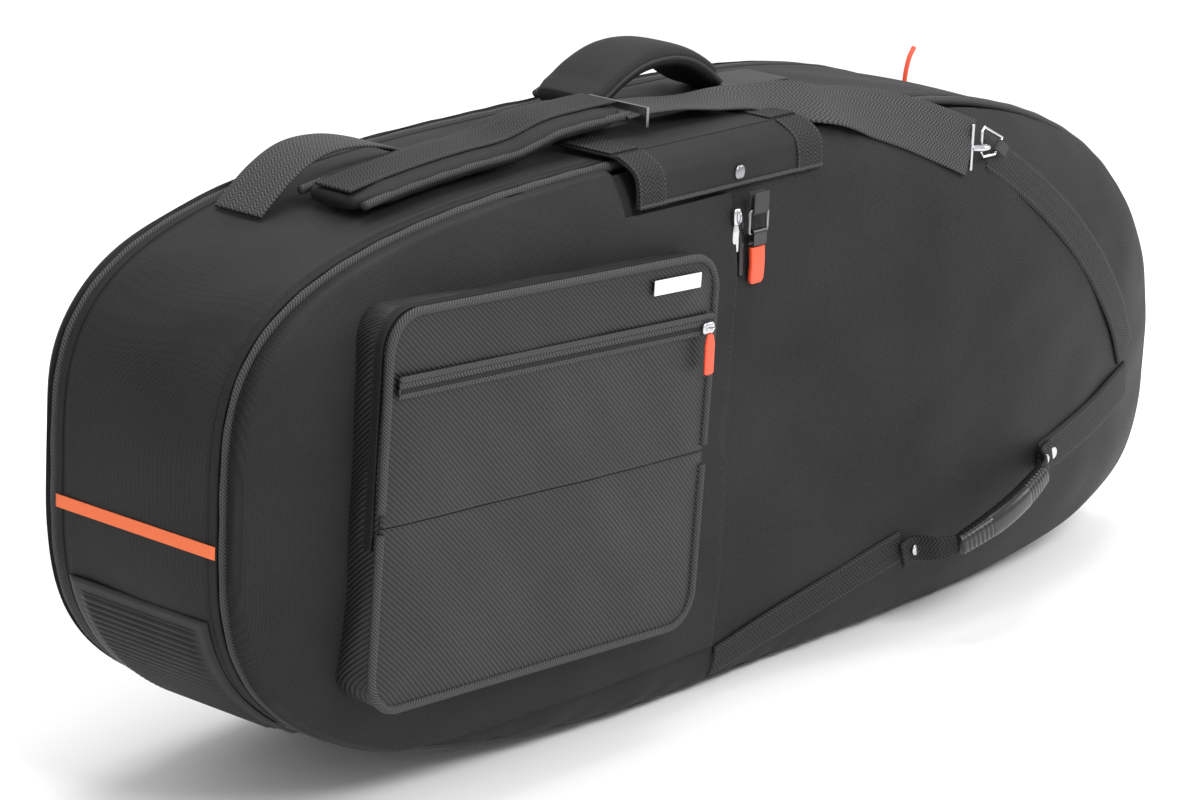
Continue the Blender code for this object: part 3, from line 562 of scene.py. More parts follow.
for label, side, cuts, regions in (
        ("front", -1, FRONT_CUTS, (("door_panel", "door_piping", "door", in_door),
                                   ("bell_panel", "bell_piping", "bag", in_bell))),
        ("back", 1, BACK_CUTS, (("lid_panel", "lid_piping", "lid", above),
                                ("lower_back_panel", "lower_back_piping", "bag", below)))):
    for cloth, edge, body, wanted in regions:
        sheet = sheet_of(cloth + "_cloth", panel_grid(side, RIM), NYLON, wrap_cols=True)
        keep(outwards(sheet), cuts, wanted)
        add(thicken(face_out(sheet, side), 0.007), body, "charcoal_nylon", cloth)
        add(outwards(keep(piping(edge + "_tube", side), cuts, wanted)), body, "twill_piping", edge)
print("shell panels:", made)

# %% [markdown]
# The gusset is the long wall between the panels: cloth with slight folds, a zip tape along each edge,
# the orange marker band and the ribbed plate that the bag stands on when it is upright.

# %%


def ring_band(name, rise, y0, y1, wall, mat, ripple=0.0, across=14, unit_v=False):
    """A band that follows the outline: out on one side, in on the other, closed."""
    p = outline(0)
    n = OUT[::3]
    y = np.linspace(y0, y1, across)
    k = np.arange(RING_COUNT)[:, None]
    fade = np.clip(np.minimum(y[None] - y0, y1 - y[None]) / 0.02, 0, 1)
    wave = ripple * (np.sin(k * 0.11 + y[None] * 30) + 0.7 * np.sin(k * 0.37 - y[None] * 45 + 1.3)) * fade
    lift = np.where(p[:, 1:2] < 0.004, 0, rise + wave)
    depth = np.broadcast_to(y, (RING_COUNT, across))
    top = np.stack([p[:, 0:1] + n[:, 0:1] * lift, depth, p[:, 1:2] + n[:, 1:2] * lift], -1)
    low = top - np.stack([n[:, 0:1], 0 * n[:, 0:1], n[:, 1:2]], -1) * wall
    grid = np.concatenate([top, low[:, ::-1]], axis=1)
    return outwards(sheet_of(name, grid, mat, wrap_rows=True, wrap_cols=True, unit_v=unit_v))


add(ring_band("gusset_cloth", -0.0006, -GUSSET_HALF, GUSSET_HALF, 0.003, NYLON, 0.0009, 22), "bag",
    "charcoal_nylon", "gusset")
for side, label in ((-1, "front"), (1, "back")):
    a, b = sorted((side * (GUSSET_HALF + 0.0003), side * (GUSSET_HALF + 0.0072)))
    add(ring_band(label + "_zip", -0.0002, a, b, 0.003, ZIP, 0, 6, True), "bag", "twill_piping",
        label + "_zipper_tape")


def wall_strip(name, z_high, z_low, rise, thick, y0, y1, mat, ribs=0):
    """A strip on the small end's wall between two heights, with ribs that run across the wall."""
    left = int(np.argmin(FINE[:, 0]))
    start = left - 60 + int(np.argmax(FINE[left - 60:, 1] < z_high + FLOOR_CUT))
    stop = left + int(np.argmax(FINE[left:, 1] < z_low + FLOOR_CUT))
    line = spaced(FINE[start:stop], 300, False)
    run = np.gradient(line, axis=0)
    n = unit(np.column_stack([run[:, 1], -run[:, 0]]))
    y = np.linspace(y0, y1, 40)
    t = np.linspace(0, 1, 300)[:, None]
    across = (y[None] - y0) / (y1 - y0)
    border = np.clip(np.minimum(np.minimum(t, 1 - t) / 0.02, np.minimum(across, 1 - across) / 0.03), 0, 1)
    from_ends = np.minimum(t - 0.06, 0.94 - t) / 0.01
    from_sides = np.minimum(across - 0.09, 0.91 - across) / 0.02
    inner = np.clip(np.minimum(from_ends, from_sides), 0, 1)
    wave = abs(np.sin(t * math.pi * ribs)) if ribs else 0
    high = rise + thick * (0.45 * np.sqrt(border) + 0.55 * inner * wave)
    depth = np.broadcast_to(y, high.shape)
    top = np.stack([line[:, 0:1] + n[:, 0:1] * high, depth, line[:, 1:2] + n[:, 1:2] * high - FLOOR_CUT], -1)
    low = np.stack([line[:, 0:1] + 0 * high, depth, line[:, 1:2] - FLOOR_CUT + 0 * high], -1)
    return outwards(sheet_of(name, np.concatenate([top, low[:, ::-1]], axis=1), mat, wrap_cols=True))


add(wall_strip("marker_tape", 0.2465, 0.2335, 0.0006, 0.0012, -0.0845, 0.0845, ORANGE_CLOTH), "bag", "orange",
    "marker_band")
add(wall_strip("kick_rubber", 0.185, 0.072, 0.0006, 0.0046, -0.072, 0.076, RUBBER, 26), "bag", "rubber",
    "kick_plate")


def repaint(mat, *nodes):
    """Gives solids that keep their shape a better material."""
    for node in nodes:
        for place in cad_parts[node].material_slots:
            place.material = mat


repaint(FOAM, "gusset_padding", "bell_cushion", "bottom_cushion")
repaint(NYLON_DARK, "tie_strap")
print("gusset done:", len(made), "pieces")

# %% [markdown]
# The music pocket is a flat box on the door: soft walls, a lower front, and an upper front that folds open.
# Its own directions are turned by its tilt. Each row of its face is as wide as the rounded corners leave it.

# %%
POCKET_X, POCKET_Z = -0.318, 0.253
POCKET_W, POCKET_H = 0.372, 0.305
CORNER, TILT = 0.030, -0.047
FACE_Y = 0.158
FOLD = -0.008
POUCH = 0.095


def on_pocket(a, b):
    """X and Z of a place given from the pocket's middle along its own edges."""
    c, s = math.cos(TILT), math.sin(TILT)
    return POCKET_X + a * c - b * s, POCKET_Z + a * s + b * c


def half_width(b, inset=0.0):
    """Half the pocket's width at height b: W/2 - r + sqrt(r^2 - (|b| - (H/2 - r))^2) in the corners."""
    over = np.clip(abs(b) - (POCKET_H / 2 - CORNER), 0, CORNER - inset)
    return POCKET_W / 2 - CORNER + np.sqrt(np.maximum((CORNER - inset) ** 2 - over ** 2, 0))


def pocket_face(name, low, high, body, node):
    rows = np.linspace(low, high, 70)[:, None]
    cols = np.linspace(-1, 1, 110)[None]
    b = np.broadcast_to(rows, (70, 110))
    a = cols * half_width(rows, 0.0015)
    x, z = on_pocket(a, b)
    rim = np.maximum(abs(a) / (POCKET_W / 2), abs(b) / (POCKET_H / 2))
    soft = 0.0030 * (1 - rim ** 7)
    folds = 0.0006 * (np.sin(x * 31 + z * 17) + 0.8 * np.sin(x * 12 - z * 44 + 2) + 0.5 * np.sin(x * 90 + z * 60))
    y = -(FACE_Y - 0.0035 + soft + folds * (1 - rim ** 6))
    face = face_out(sheet_of(name, np.stack([x, y, z], -1), POCKET), -1)
    return add(thicken(face, 0.004), body, "pocket_twill", node)


pocket_face("pocket_upper_cloth", FOLD + 0.0004, POCKET_H / 2 - 0.0015, "pocket_flap", "pocket_flap")
pocket_face("pocket_lower_cloth", -POCKET_H / 2 + 0.0015, FOLD - 0.0004, "door", "pocket_lower_front")


def pocket_rim(count, inset=0.0):
    """The pocket's rounded outline from its lower middle, counter-clockwise, in its own directions."""
    w, h, r = POCKET_W / 2 - inset, POCKET_H / 2 - inset, CORNER - inset
    arcs = []
    for quadrant, (sx, sz) in enumerate(((1, -1), (1, 1), (-1, 1), (-1, -1))):
        t = math.pi / 2 * (quadrant - 1) + np.linspace(0, math.pi / 2, 24)
        arcs.append(np.column_stack([sx * (w - r) + r * np.cos(t), sz * (h - r) + r * np.sin(t)]))
    line = np.vstack([[[0, -h]], *arcs])
    return spaced(line, count)


RIM_LINE = pocket_rim(360)
rx, rz = on_pocket(RIM_LINE[:, 0], RIM_LINE[:, 1])
depth = np.linspace(0, 1, 16)[None]
foot_y = dome(rx, rz)[:, None] + 0.0002
ripple = 0.0007 * np.sin(np.arange(360)[:, None] * 0.21 + depth * 4)
puff = (0.0022 + ripple) * np.sin(depth * math.pi)
run = unit(np.roll(RIM_LINE, -1, axis=0) - np.roll(RIM_LINE, 1, axis=0))
nx, nz = run[:, 1], -run[:, 0]
ox, oz = nx * math.cos(TILT) - nz * math.sin(TILT), nx * math.sin(TILT) + nz * math.cos(TILT)
WALL_INSET, WALL_TOP = 0.002, FACE_Y - 0.0048
wall = np.stack([rx[:, None] - ox[:, None] * (WALL_INSET - puff), -(foot_y + (WALL_TOP - foot_y) * depth),
                 rz[:, None] - oz[:, None] * (WALL_INSET - puff)], -1)
inner = wall - np.stack([ox, 0 * ox, oz], -1)[:, None] * 0.004
add(outwards(sheet_of("pocket_wall", np.concatenate([wall, inner[:, ::-1]], axis=1), POCKET, wrap_rows=True,
                      wrap_cols=True)), "door", "pocket_twill", "pocket_body")
back_b = np.linspace(-0.15, 0.15, 50)[:, None] + np.zeros((1, 60))
back_x, back_z = on_pocket(np.linspace(-1, 1, 60)[None] * half_width(back_b, 0.003), back_b)
back = sheet_of("pocket_back", np.stack([back_x, -(dome(back_x, back_z) + 0.0006), back_z], -1), NYLON_DARK)
add(thicken(face_out(back, -1), 0.0004), "door", "pocket_twill")


def rim_bar(name, part, body):
    """Piping along a stretch of the pocket's outline, given in the pocket's own directions."""
    x, z = on_pocket(part[:, 0], part[:, 1])
    line = np.column_stack([x, np.full(len(x), 0.0035 - FACE_Y), z])[::6]
    add(bar(name, line, 0.0034, TWILL, count=260, sides=12), body, "twill_piping")


heights = pocket_rim(720, 0.0015)[:, 1]
rise_at = int(np.argmax(heights > FOLD))
fall_at = 720 - int(np.argmax(heights[::-1] > FOLD))
rim_bar("pocket_upper_piping", pocket_rim(720, 0.0015)[rise_at + 2:fall_at - 2], "pocket_flap")
from_fold = np.roll(pocket_rim(720, 0.0015), 720 - fall_at, axis=0)
rim_bar("pocket_lower_piping", from_fold[2:720 - fall_at + rise_at - 2], "door")
zip_line = pocket_rim(720, -0.0006)[rise_at - 10:fall_at + 10]
zx, zz = on_pocket(zip_line[:, 0], zip_line[:, 1])
zip_y = np.linspace(-0.1485, -0.1405, 6)[None]
zrun = unit(np.gradient(np.column_stack([zx, zz]), axis=0))
zo = np.column_stack([zrun[:, 1], -zrun[:, 0]])
strip_top = np.stack([zx[:, None] + zo[:, :1] * 0.0004 + 0 * zip_y, zip_y + 0 * zx[:, None],
                      zz[:, None] + zo[:, 1:] * 0.0004 + 0 * zip_y], -1)
strip_low = strip_top - np.stack([zo[:, 0], 0 * zo[:, 0], zo[:, 1]], -1)[:, None] * 0.0022
add(outwards(sheet_of("pocket_zip", np.concatenate([strip_top, strip_low[:, ::-1]], axis=1), ZIP, wrap_cols=True,
                      unit_v=True)), "door", "twill_piping")


def pocket_strip(name, a0, a1, b, height, y, thick, mat, power=6.0):
    """A flat strip on the pocket's face."""
    p = [on_pocket(a, b) for a in np.linspace(a0, a1, 8)]
    up = (-math.sin(TILT), 0, math.cos(TILT))
    return strap(name, [(x, -y, z) for x, z in p], up, height, thick, mat, 160, 20, power)


add(pocket_strip("pouch_zip", -0.178, 0.176, POUCH, 0.012, FACE_Y + 0.0012, 0.0016, WEB, 8), "pocket_flap",
    "twill_piping", "pouch_zipper")
add(pocket_strip("pouch_teeth", -0.177, 0.175, POUCH, 0.0036, FACE_Y + 0.0020, 0.0016, ZIP, 3), "pocket_flap",
    "steel")
add(pocket_strip("pouch_welt", -0.178, 0.178, POUCH + 0.0085, 0.0052, FACE_Y + 0.0014, 0.0036, TWILL, 2.2),
    "pocket_flap", "twill_piping")
add(pocket_strip("label_cloth", 0.104, 0.160, POCKET_H / 2 - 0.018, 0.012, FACE_Y + 0.0010, 0.0012, WHITE, 8),
    "pocket_flap", "label_white", "label")

# %% [markdown]
# Sliders and pulls: a slider is a rounded body with a bridge, and a pull hangs from it. The pulls are moulded
# rubber, a little narrower at the top, and the one on the lid stands up and leans over.

# %%


def blob(name, centre, axes, sizes, mat, power=3.0, count=24):
    """A superellipsoid: |x/a|^n + |y/b|^n + |z/c|^n = 1 along three directions."""
    lat = np.linspace(-math.pi / 2 + 0.02, math.pi / 2 - 0.02, count)[:, None]
    lon = np.linspace(0, 2 * math.pi, count * 2, endpoint=False)[None]

    def bent(v):
        return np.sign(v) * abs(v) ** (2 / power)

    girth = bent(np.cos(lat))
    p = np.stack([girth * bent(np.cos(lon)) * sizes[0] / 2, girth * bent(np.sin(lon)) * sizes[1] / 2,
                  bent(np.sin(lat)) * sizes[2] / 2 + 0 * lon], -1)
    grid = np.asarray(centre, float) + p @ unit(np.asarray(axes, float))
    return outwards(sheet_of(name, grid, mat, wrap_cols=True))


def middle_of(node):
    low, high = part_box(node)
    return (np.asarray(low) + np.asarray(high)) / 2


def slider(name, node, run_dir, out_dir, size=(0.014, 0.010, 0.0045), lift=-0.001):
    """A zip slider: a rounded body, and a bridge over it that holds the pull."""
    run_dir, out_dir = unit(np.asarray(run_dir, float)), unit(np.asarray(out_dir, float))
    side = np.cross(out_dir, run_dir)
    at = middle_of(node) + out_dir * lift
    add(blob(name, at, (run_dir, side, out_dir), size, NICKEL, 3.4), node, "steel", node)
    arch = ((-0.005, 0.0012), (-0.0035, 0.0036), (0, 0.0044), (0.0035, 0.0036), (0.005, 0.0012))
    hoop = [at + run_dir * along + out_dir * high for along, high in arch]
    add(bar(name + "_bridge", hoop, 0.0009, NICKEL, count=30, sides=10), node, "steel")


def pull_width(t):
    """A pull is narrow at its eye, full below it, and rounded at its end."""
    return 0.55 + 0.45 * np.clip(t / 0.25, 0, 1) ** 0.7 - 0.5 * np.clip((t - 0.93) / 0.07, 0, 1) ** 3


def ends(node):
    low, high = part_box(node)
    return np.asarray(low), np.asarray(high), middle_of(node)


EYE_RISE = 0.0030       # a pull's eye reaches this far above its solid, to its slider


def tab(name, node, across, width, thick, mat, slot="orange"):
    """A pull that hangs down from its eye; it rides on the body that has its node's name."""
    low, high, mid = ends(node)
    top, foot = np.array([mid[0], mid[1], high[2] + EYE_RISE]), np.array([mid[0], mid[1], low[2]])
    line = [top * (1 - t) + foot * t for t in np.linspace(0, 1, 5)]
    add(strap(name, line, across, width, thick, mat, 60, 24, 4.0, pull_width), node, slot, node)


slider("pouch_zip_slider", "pouch_slider", (1, 0, 0), (0, -1, 0))
tab("pouch_pull_tab", "pouch_pull", (1, 0, 0), 0.011, 0.0028, ORANGE)
slider("pocket_zip_slider", "pocket_slider", (0, 0, 1), (1, 0, 0))
tab("pocket_pull_tab", "pocket_pull", (0, 1, 0), 0.011, 0.0028, ORANGE)
slider("door_zip_slider", "door_slider", (0, 0, 1), (0, -1, 0), (0.014, 0.009, 0.0045), 0.0018)
tab("door_pull_tab", "door_pull", (1, 0, 0), 0.008, 0.0024, NICKEL, "steel")
slider("lid_zip_slider", "lid_slider", (1, 0, -0.25), (0.25, 0, 1))
lo, hi, mid = ends("lid_pull")
lean = [(mid[0] + dx, mid[1], lo[2] + dz)
        for dx, dz in ((0, -0.001), (0.002, 0.012), (0.006, 0.023), (0.012, 0.031))]
add(bar("lid_pull_cord", lean, 0.0022, ORANGE, count=50, sides=14), "lid_pull", "orange", "lid_pull")

# %% [markdown]
# Webbing that is sewn to a panel follows its dome point by point: `patch` lays a grid on it, a little proud.

# %%


def patch(name, line, width, mat, node=None, lift=0.0005, thick=WEB_T, slot="twill_piping", count=150):
    """Webbing of the given width on the front panel along a line in X and Z."""
    line = curve(np.asarray(line, float), count)
    run_dir = unit(np.gradient(line, axis=0))
    across = np.column_stack([-run_dir[:, 1], run_dir[:, 0]])
    v = np.linspace(-1, 1, 18)
    spot = line[:, None] + across[:, None] * (v[None, :, None] * width / 2)
    base = dome(spot[..., 0], spot[..., 1])
    round_off = thick * (0.25 + 0.75 * (1 - abs(v) ** 10))[None]
    high = np.stack([spot[..., 0], -(base + lift + round_off), spot[..., 1]], -1)
    low = np.stack([spot[..., 0], -(base - 0.0008), spot[..., 1]], -1)
    obj = sheet_of(name, np.concatenate([high, low[:, ::-1]], axis=1), mat, wrap_cols=True)
    set_v(obj, np.tile(np.concatenate([v, v[::-1]]) * width / 2, count))
    add(outwards(obj), "bag", slot, *([node] if node else []))


patch("bell_webbing", [(0.262, 0.417), (0.300, 0.391), (0.335, 0.365), (0.378, 0.330), (0.415, 0.295),
                       (0.444, 0.264), (0.468, 0.236), (0.493, 0.196)], WEB_W, WEB_SEWN, "bell_band")
patch("upper_handle_webbing", [(0.498, 0.166), (0.465, 0.160), (0.430, 0.152), (0.370, 0.140), (0.325, 0.131)],
      WEB_W, WEB_SEWN, "upper_handle_band", lift=0.0012)
patch("lower_handle_webbing", [(0.150, 0.087), (0.110, 0.075), (0.070, 0.063), (0.0, 0.044), (-0.030, 0.0355),
                               (-0.060, 0.027)], 0.034, WEB_SEWN, "lower_handle_band", lift=0.0004)
strip_x = -0.0645
patch("buckle_strip", [(strip_x, z) for z in (0.362, 0.378, 0.394, 0.410)], 0.006, PLASTIC, "buckle_base",
      slot="black_plastic", thick=0.003)
seam_x = SPLIT_X + 0.0045
patch("split_tape", [(seam_x, z) for z in (0.425, 0.36, 0.25, 0.15, 0.052)], 0.0075, ZIP, thick=0.0006, lift=0.0002)

# %% [markdown]
# The carry handle: a moulded grip, flatter than it is wide, between two folded loops of webbing with rivets.

# %%
GRIP_LENGTH = 0.125
grip_high = np.array([0.302, -0.18736, 0.129])
grip_low = grip_high - GRIP_LENGTH * np.array([0.955, 0, 0.297])
grip_dir = unit(grip_low - grip_high)
across = np.array([-grip_dir[2], 0, grip_dir[0]])


def grip_swell(t):
    """Full in the middle, with finger ribs near both ends."""
    ribs = np.clip((abs(t - 0.5) - 0.20) / 0.03, 0, 1) * np.clip((0.48 - abs(t - 0.5)) / 0.02, 0, 1)
    full = np.sin(np.clip(t, 0, 1) * math.pi) ** 0.5
    return 0.80 + 0.22 * full - 0.07 * ribs * (0.5 + 0.5 * np.cos(t * 2 * math.pi * 25))


line = [grip_high * (1 - t) + grip_low * t + [0, -0.007 * math.sin(math.pi * t), 0] for t in np.linspace(0, 1, 9)]
add(strap("grip_moulding", line, across, 0.022, 0.0165, PLASTIC, 240, 32, 2.7, grip_swell), "bag", "black_plastic",
    "grip")
front = line[4] + np.array([0, -0.0071, 0])
grip_axes = (grip_dir, across, np.cross(grip_dir, across))
add(blob("grip_oval", front, grip_axes, (0.030, 0.008, 0.0012), RUBBER, 2.0), "bag", "black_plastic")
FACING_Y = ((1, 0, 0), (0, 0, 1), (0, 1, 0))
for name, end, sign in (("upper_grip_loop", grip_high, -1), ("lower_grip_loop", grip_low, 1)):
    foot = end + grip_dir * 0.022 * sign
    foot[1] = -(float(dome(foot[0], foot[2])) + 0.0045)
    tail = foot + [grip_dir[0] * 0.014 * sign, -0.001, grip_dir[2] * 0.014 * sign]
    route = [tail, foot + [0, -0.003, 0], (foot + end) / 2 + [0, -0.006, 0], end - grip_dir * 0.004 * sign]
    add(strap(name + "_web", route, across, 0.024, 0.0042, WEB_SEWN, 60, 24, 5.0,
              lambda t: 1 - 0.32 * np.clip((t - 0.5) / 0.5, 0, 1)), "bag", "charcoal_nylon", name)
    rivet = foot + [0, -0.0058, 0]
    add(blob(name + "_rivet", rivet, FACING_Y, (0.0105, 0.0105, 0.0035), NICKEL, 2.2), "bag", "steel")
repaint(NICKEL, "handle_rivet")
print("handle done:", len(made), "pieces")

# %% [markdown]
# The storm flap: its top lies flat on the gusset, and its leaf folds down over the front edge. Two bands of
# ribbed webbing run over both, and a press stud holds the leaf.

# %%
FLAP_X0, FLAP_X1 = -0.190, 0.042
CREST = HEIGHT - FLOOR_CUT + 0.003
FOLD_EDGE = 0.0976
LOW_Z = 0.4345
leaf_y = float(dome(-0.08, LOW_Z)) + 0.004
flap_mid = (FLAP_X0 + FLAP_X1) / 2
leaf = [(flap_mid, -FOLD_EDGE - 0.0004, CREST + 0.0005), (flap_mid, -FOLD_EDGE - 0.006, CREST - 0.0015),
        (flap_mid, -(leaf_y - 0.002), CREST - 0.011), (flap_mid, -(leaf_y + 0.001), CREST - 0.022),
        (flap_mid, -(leaf_y + 0.0015), LOW_Z)]
FLAP_W, FLAP_T = FLAP_X1 - FLAP_X0, 0.003
add(strap("flap_leaf_cloth", leaf, (1, 0, 0), FLAP_W, FLAP_T, NYLON, 60, 60, 14), "flap", "charcoal_nylon",
    "flap_leaf")
top_line = [(flap_mid, y, CREST + 0.0006) for y in (-0.030, -0.052, -0.075, -FOLD_EDGE + 0.0015)]
add(strap("flap_top_cloth", top_line, (1, 0, 0), FLAP_W, FLAP_T, NYLON, 40, 60, 14), "bag", "charcoal_nylon",
    "flap_top", "flap_seam")
RIB_W, RIB_T = 0.033, 0.0018
for label, x in (("left", FLAP_X0 + 0.017), ("right", FLAP_X1 - 0.017)):
    route = [(x, p[1] - 0.0020, p[2] + (0.0014 if k < 2 else 0)) for k, p in enumerate(leaf)]
    add(strap("flap_rib_" + label, route, (1, 0, 0), RIB_W, RIB_T, WEB_SEWN, 60, 30, 9), "flap", "twill_piping",
        "flap_band_" + label)
    over = [(x, p[1] + 0.002, p[2] + 0.0022) for p in top_line]
    add(strap("flap_top_rib_" + label, over, (1, 0, 0), RIB_W, RIB_T, WEB_SEWN, 40, 30, 9), "bag", "twill_piping")
snap = middle_of("flap_snap")
add(blob("snap_cap", snap, FACING_Y, (0.012, 0.012, 0.0036), GUNMETAL, 2.3), "flap", "black_plastic", "flap_snap")
hem = [(x, -(leaf_y + 0.0030), LOW_Z + 0.002) for x in np.linspace(FLAP_X0 + 0.001, FLAP_X1 - 0.001, 6)]
add(bar("flap_hem", hem, 0.0019, TWILL, count=80, sides=10), "flap", "twill_piping")

# %% [markdown]
# The buckle beside the door's slider: a webbing tab, a D-ring, a hook and an orange tab.

# %%
repaint(GUNMETAL, "buckle_ring", "strap_adjuster")
repaint(PLASTIC, "buckle_hook")
repaint(NICKEL, "triangle_ring")
repaint(WEB, "buckle_tab", "ring_keeper")
lo, hi, mid = ends("buckle_pull")
hang = [(mid[0], mid[1], hi[2]), (mid[0], mid[1] - 0.0008, mid[2]), (mid[0], mid[1], lo[2])]
add(strap("buckle_tab_orange", hang, (1, 0, 0), 0.017, 0.0045, ORANGE, 60, 28, 5.0,
          lambda t: 1 - 0.25 * np.clip((t - 0.85) / 0.15, 0, 1) ** 2), "hook_pull", "orange", "buckle_pull")

# %% [markdown]
# Straps on top. The shoulder pad lies on the gusset and over the flap; its webbing rolls over the front edge
# down to a snap hook. Behind it the backpack strap stands up in an arch.

# %%


def edge_seam(name, points, width, z_off):
    """Binding along both edges of a pad that lies across Y."""
    for label, sign in (("near", -1), ("far", 1)):
        line = np.asarray(points, float) + [0, sign * width / 2, z_off]
        add(bar(name + "_binding_" + label, line, 0.0034, TWILL, count=120, sides=10), "bag", "twill_piping")


def quilt(t):
    """A pad narrows at its ends and is drawn in a little at its seams."""
    taper = 0.62 + 0.38 * np.clip(np.minimum(t, 1 - t) / 0.10, 0, 1) ** 0.6
    return taper * (1 - 0.02 * abs(np.sin(t * 9 * math.pi)))


PAD_Y = -0.020
pad_line = [(x, PAD_Y - 0.010 * (x + 0.30), top_z(x) + 0.0105) for x in (-0.420, -0.385, -0.345, -0.300, -0.250)]
pad_line += [(-0.205, PAD_Y - 0.001, top_z(-0.205) + 0.0180), (-0.160, PAD_Y - 0.002, top_z(-0.160) + 0.0195),
             (-0.122, PAD_Y - 0.002, top_z(-0.12) + 0.0195)]
add(strap("shoulder_pad_cloth", pad_line, (0, 1, 0), 0.071, 0.0175, NYLON, 160, 40, 3.2, quilt), "bag",
    "charcoal_nylon", "shoulder_pad", soft=0.8)
edge_seam("shoulder_pad", pad_line, 0.066, 0.001)
over = [(x, y, z + 0.0092) for x, y, z in pad_line]
add(strap("shoulder_pad_web", over, (0, 1, 0), WEB_W, 0.002, WEB_SEWN, 160, 20, 8), "bag", "twill_piping")
anchor = [(-0.455, 0.045, top_z(-0.455) + 0.0015), (-0.440, 0.045, top_z(-0.440) + 0.010),
          (-0.420, 0.045, top_z(-0.42) + 0.020),
          (-0.390, 0.044, top_z(-0.39) + 0.0285), (-0.355, 0.040, top_z(-0.355) + 0.027),
          (-0.325, 0.035, top_z(-0.325) + 0.019), (-0.295, 0.028, top_z(-0.295) + 0.006)]
add(strap("anchor_web", anchor, (0, 1, 0), STRAP_W, STRAP_T, WEB, 110, 26, 8), "bag", "twill_piping", "strap_anchor")

LAY = CREST + 0.0135


def rolled(x, z, roll, clear=0.0045):
    """The strap's middle at x and z, so far forward that its width clears the panel."""
    k = np.linspace(-1, 1, 9)
    height = z - math.sin(roll) * STRAP_W / 2 * k
    reach = dome(np.full(9, x), height) + clear - math.cos(roll) * STRAP_W / 2 * k
    return (x, -float(reach[height < top_z(x) + clear].max()), z)


web_line = [(-0.130, -0.037, LAY + 0.0035), (-0.112, -0.037, LAY + 0.004), (-0.07, -0.037, LAY + 0.002),
            (-0.02, -0.041, LAY - 0.003), (0.03, -0.049, LAY - 0.0045)]
web_roll = [0, 0, 0, 0.05, 0.2]
for x, z, roll in ((0.08, 0.475, 0.5), (0.12, 0.465, 0.8), (0.16, 0.453, 1.0), (0.20, 0.437, 1.2),
                   (0.228, 0.4245, 1.3)):
    web_line.append(rolled(x, z, roll))
    web_roll.append(roll)
web_across = [(0, math.cos(r), math.sin(r)) for r in web_roll]
add(strap("strap_web", web_line, web_across, STRAP_W, STRAP_T, WEB, 200, 26, 8), "bag", "twill_piping",
    "strap_webbing")
hook_at = np.array(web_line[-1]) + [0.003, -0.0005, -0.001]
ring_mid = middle_of("triangle_ring")
nose = np.array([0.2505, ring_mid[1] - 0.0030, 0.4225])
wire = [np.array(web_line[-1]) + [0.002, 0, dz] for dz in (-0.020, -0.010, 0.0, 0.010, 0.020)]
add(bar("strap_wire", wire, 0.0016, NICKEL, count=40, sides=12), "bag", "steel")
hook_line = [hook_at, (hook_at + nose) / 2 + [0, -0.002, 0], nose + [-0.002, -0.0005, 0],
             nose + [0.001, 0.0030, 0], nose + [-0.0035, 0.0065, 0]]
hook_radius = np.interp(np.linspace(0, 1, 70), [0, 0.35, 0.7, 1], [0.0026, 0.0031, 0.0018, 0.0013])
add(bar("snap_hook_body", hook_line, hook_radius, NICKEL, count=70, sides=14), "bag", "steel", "snap_hook")

arch_line = [(-0.100, 0.034, 0.4815), (-0.085, 0.034, 0.487), (-0.062, 0.034, 0.499), (-0.036, 0.034, 0.5075),
             (-0.008, 0.034, 0.5095), (0.020, 0.034, 0.5050), (0.045, 0.034, 0.4935), (0.064, 0.034, 0.4800)]


def arch_width(t):
    """The arched pad narrows a little at both ends."""
    return 0.8 + 0.2 * np.clip(np.minimum(t, 1 - t) / 0.08, 0, 1) ** 0.6


add(strap("backpack_pad_cloth", arch_line, (0, 1, 0), 0.066, 0.0205, NYLON, 160, 40, 3.2, arch_width), "bag",
    "charcoal_nylon", "backpack_pad", soft=0.8)
edge_seam("backpack_pad", arch_line, 0.060, 0.0)
tail = [(0.052, 0.032, 0.4835), (0.070, 0.031, 0.4755)]
tail += [(x, 0.030, top_z(x) + 0.0022) for x in (0.090, 0.115, 0.140, 0.160)]
add(strap("backpack_web", tail, (0, 1, 0), 0.048, STRAP_T, WEB, 80, 26, 8), "bag", "twill_piping", "backpack_webbing")
print("all pieces:", len(made))

# %% [markdown]
# The stage: a pale floor under soft light, and a white backdrop that only the camera, mirrors and clear things
# see. The camera stands where the photograph was taken, with a long lens and a slight roll.

# %%
floor_mesh = bpy.data.meshes.new("floor")
floor_mesh.from_pydata([(-30, -30, 0), (30, -30, 0), (30, 30, 0), (-30, 30, 0)], [], [(0, 1, 2, 3)])
floor = bpy.data.objects.new("floor", floor_mesh)
bpy.context.scene.collection.objects.link(floor)
paper = Shop("paper floor", 0.9)
floor_mesh.materials.append(paper.finish((0.93, 0.93, 0.93)))

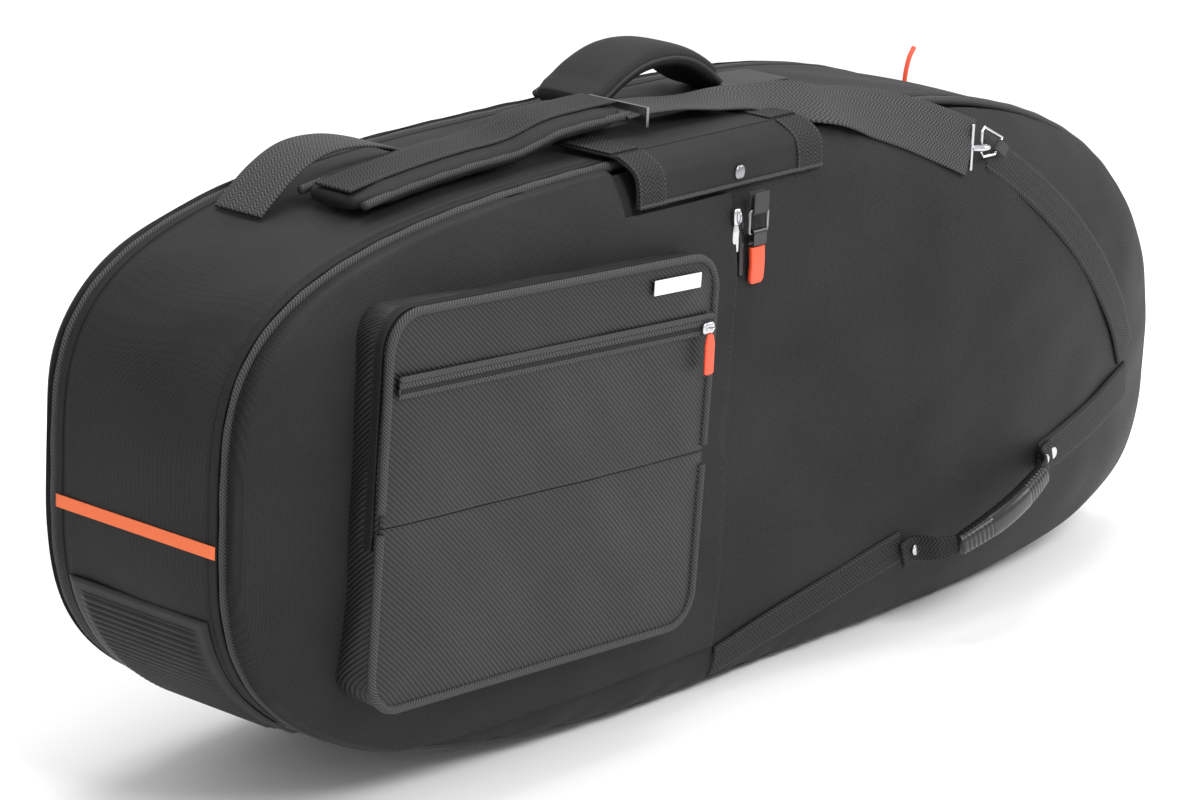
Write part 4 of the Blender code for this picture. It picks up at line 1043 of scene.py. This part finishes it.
scene = bpy.context.scene
world = bpy.data.worlds.new("studio")
scene.world = world
world.use_nodes = True
tree = world.node_tree
tree.nodes.clear()
path = tree.nodes.new("ShaderNodeLightPath")
soft, white = tree.nodes.new("ShaderNodeBackground"), tree.nodes.new("ShaderNodeBackground")
soft.inputs["Color"].default_value, soft.inputs["Strength"].default_value = (1, 1, 1, 1), 0.86
white.inputs["Color"].default_value, white.inputs["Strength"].default_value = (1, 1, 1, 1), 1.0
mix, out = tree.nodes.new("ShaderNodeMixShader"), tree.nodes.new("ShaderNodeOutputWorld")
tree.links.new(path.outputs["Is Camera Ray"], mix.inputs[0])
tree.links.new(soft.outputs[0], mix.inputs[1])
tree.links.new(white.outputs[0], mix.inputs[2])
tree.links.new(mix.outputs[0], out.inputs[0])


def lamp(name, place, aim, size, power):
    data = bpy.data.lights.new(name, "AREA")
    data.shape, data.size, data.energy = "DISK", size, power
    obj = bpy.data.objects.new(name, data)
    obj.location = place
    obj.rotation_euler = (Vector(aim) - Vector(place)).to_track_quat("-Z", "Y").to_euler()
    scene.collection.objects.link(obj)
    return obj


lamp("key", (-0.6, -2.4, 2.4), (0, 0, 0.2), 1.2, 62)
lamp("top", (0.3, 0.4, 2.8), (0, 0, 0.2), 2.0, 45)
lamp("rim", (2.2, -1.4, 1.6), (0.2, 0, 0.2), 1.2, 18)

CAMERA_AT = Vector((-2.504, -2.041, 1.179))
YAW, PITCH, ROLL = math.radians(-49.92), math.radians(16.64), math.radians(2.34)
forward = Vector((-math.sin(YAW) * math.cos(PITCH), math.cos(YAW) * math.cos(PITCH), -math.sin(PITCH)))
right = Vector((math.cos(YAW), math.sin(YAW), 0))
up = right.cross(forward)
right_rolled = right * math.cos(ROLL) + up * math.sin(ROLL)
up_rolled = up * math.cos(ROLL) - right * math.sin(ROLL)
camera_data = bpy.data.cameras.new("camera")
camera_data.lens, camera_data.sensor_width = 120.2, 36
camera_data.clip_end = 200
camera = bpy.data.objects.new("camera", camera_data)
facing = Matrix((right_rolled, up_rolled, -forward)).transposed().to_4x4()
camera.matrix_world = Matrix.Translation(CAMERA_AT) @ facing
scene.collection.objects.link(camera)
scene.camera = camera
scene.render.engine = "CYCLES"
scene.render.resolution_x, scene.render.resolution_y = 1200, 800
scene.view_settings.view_transform = "Standard"
scene.cycles.samples = 128
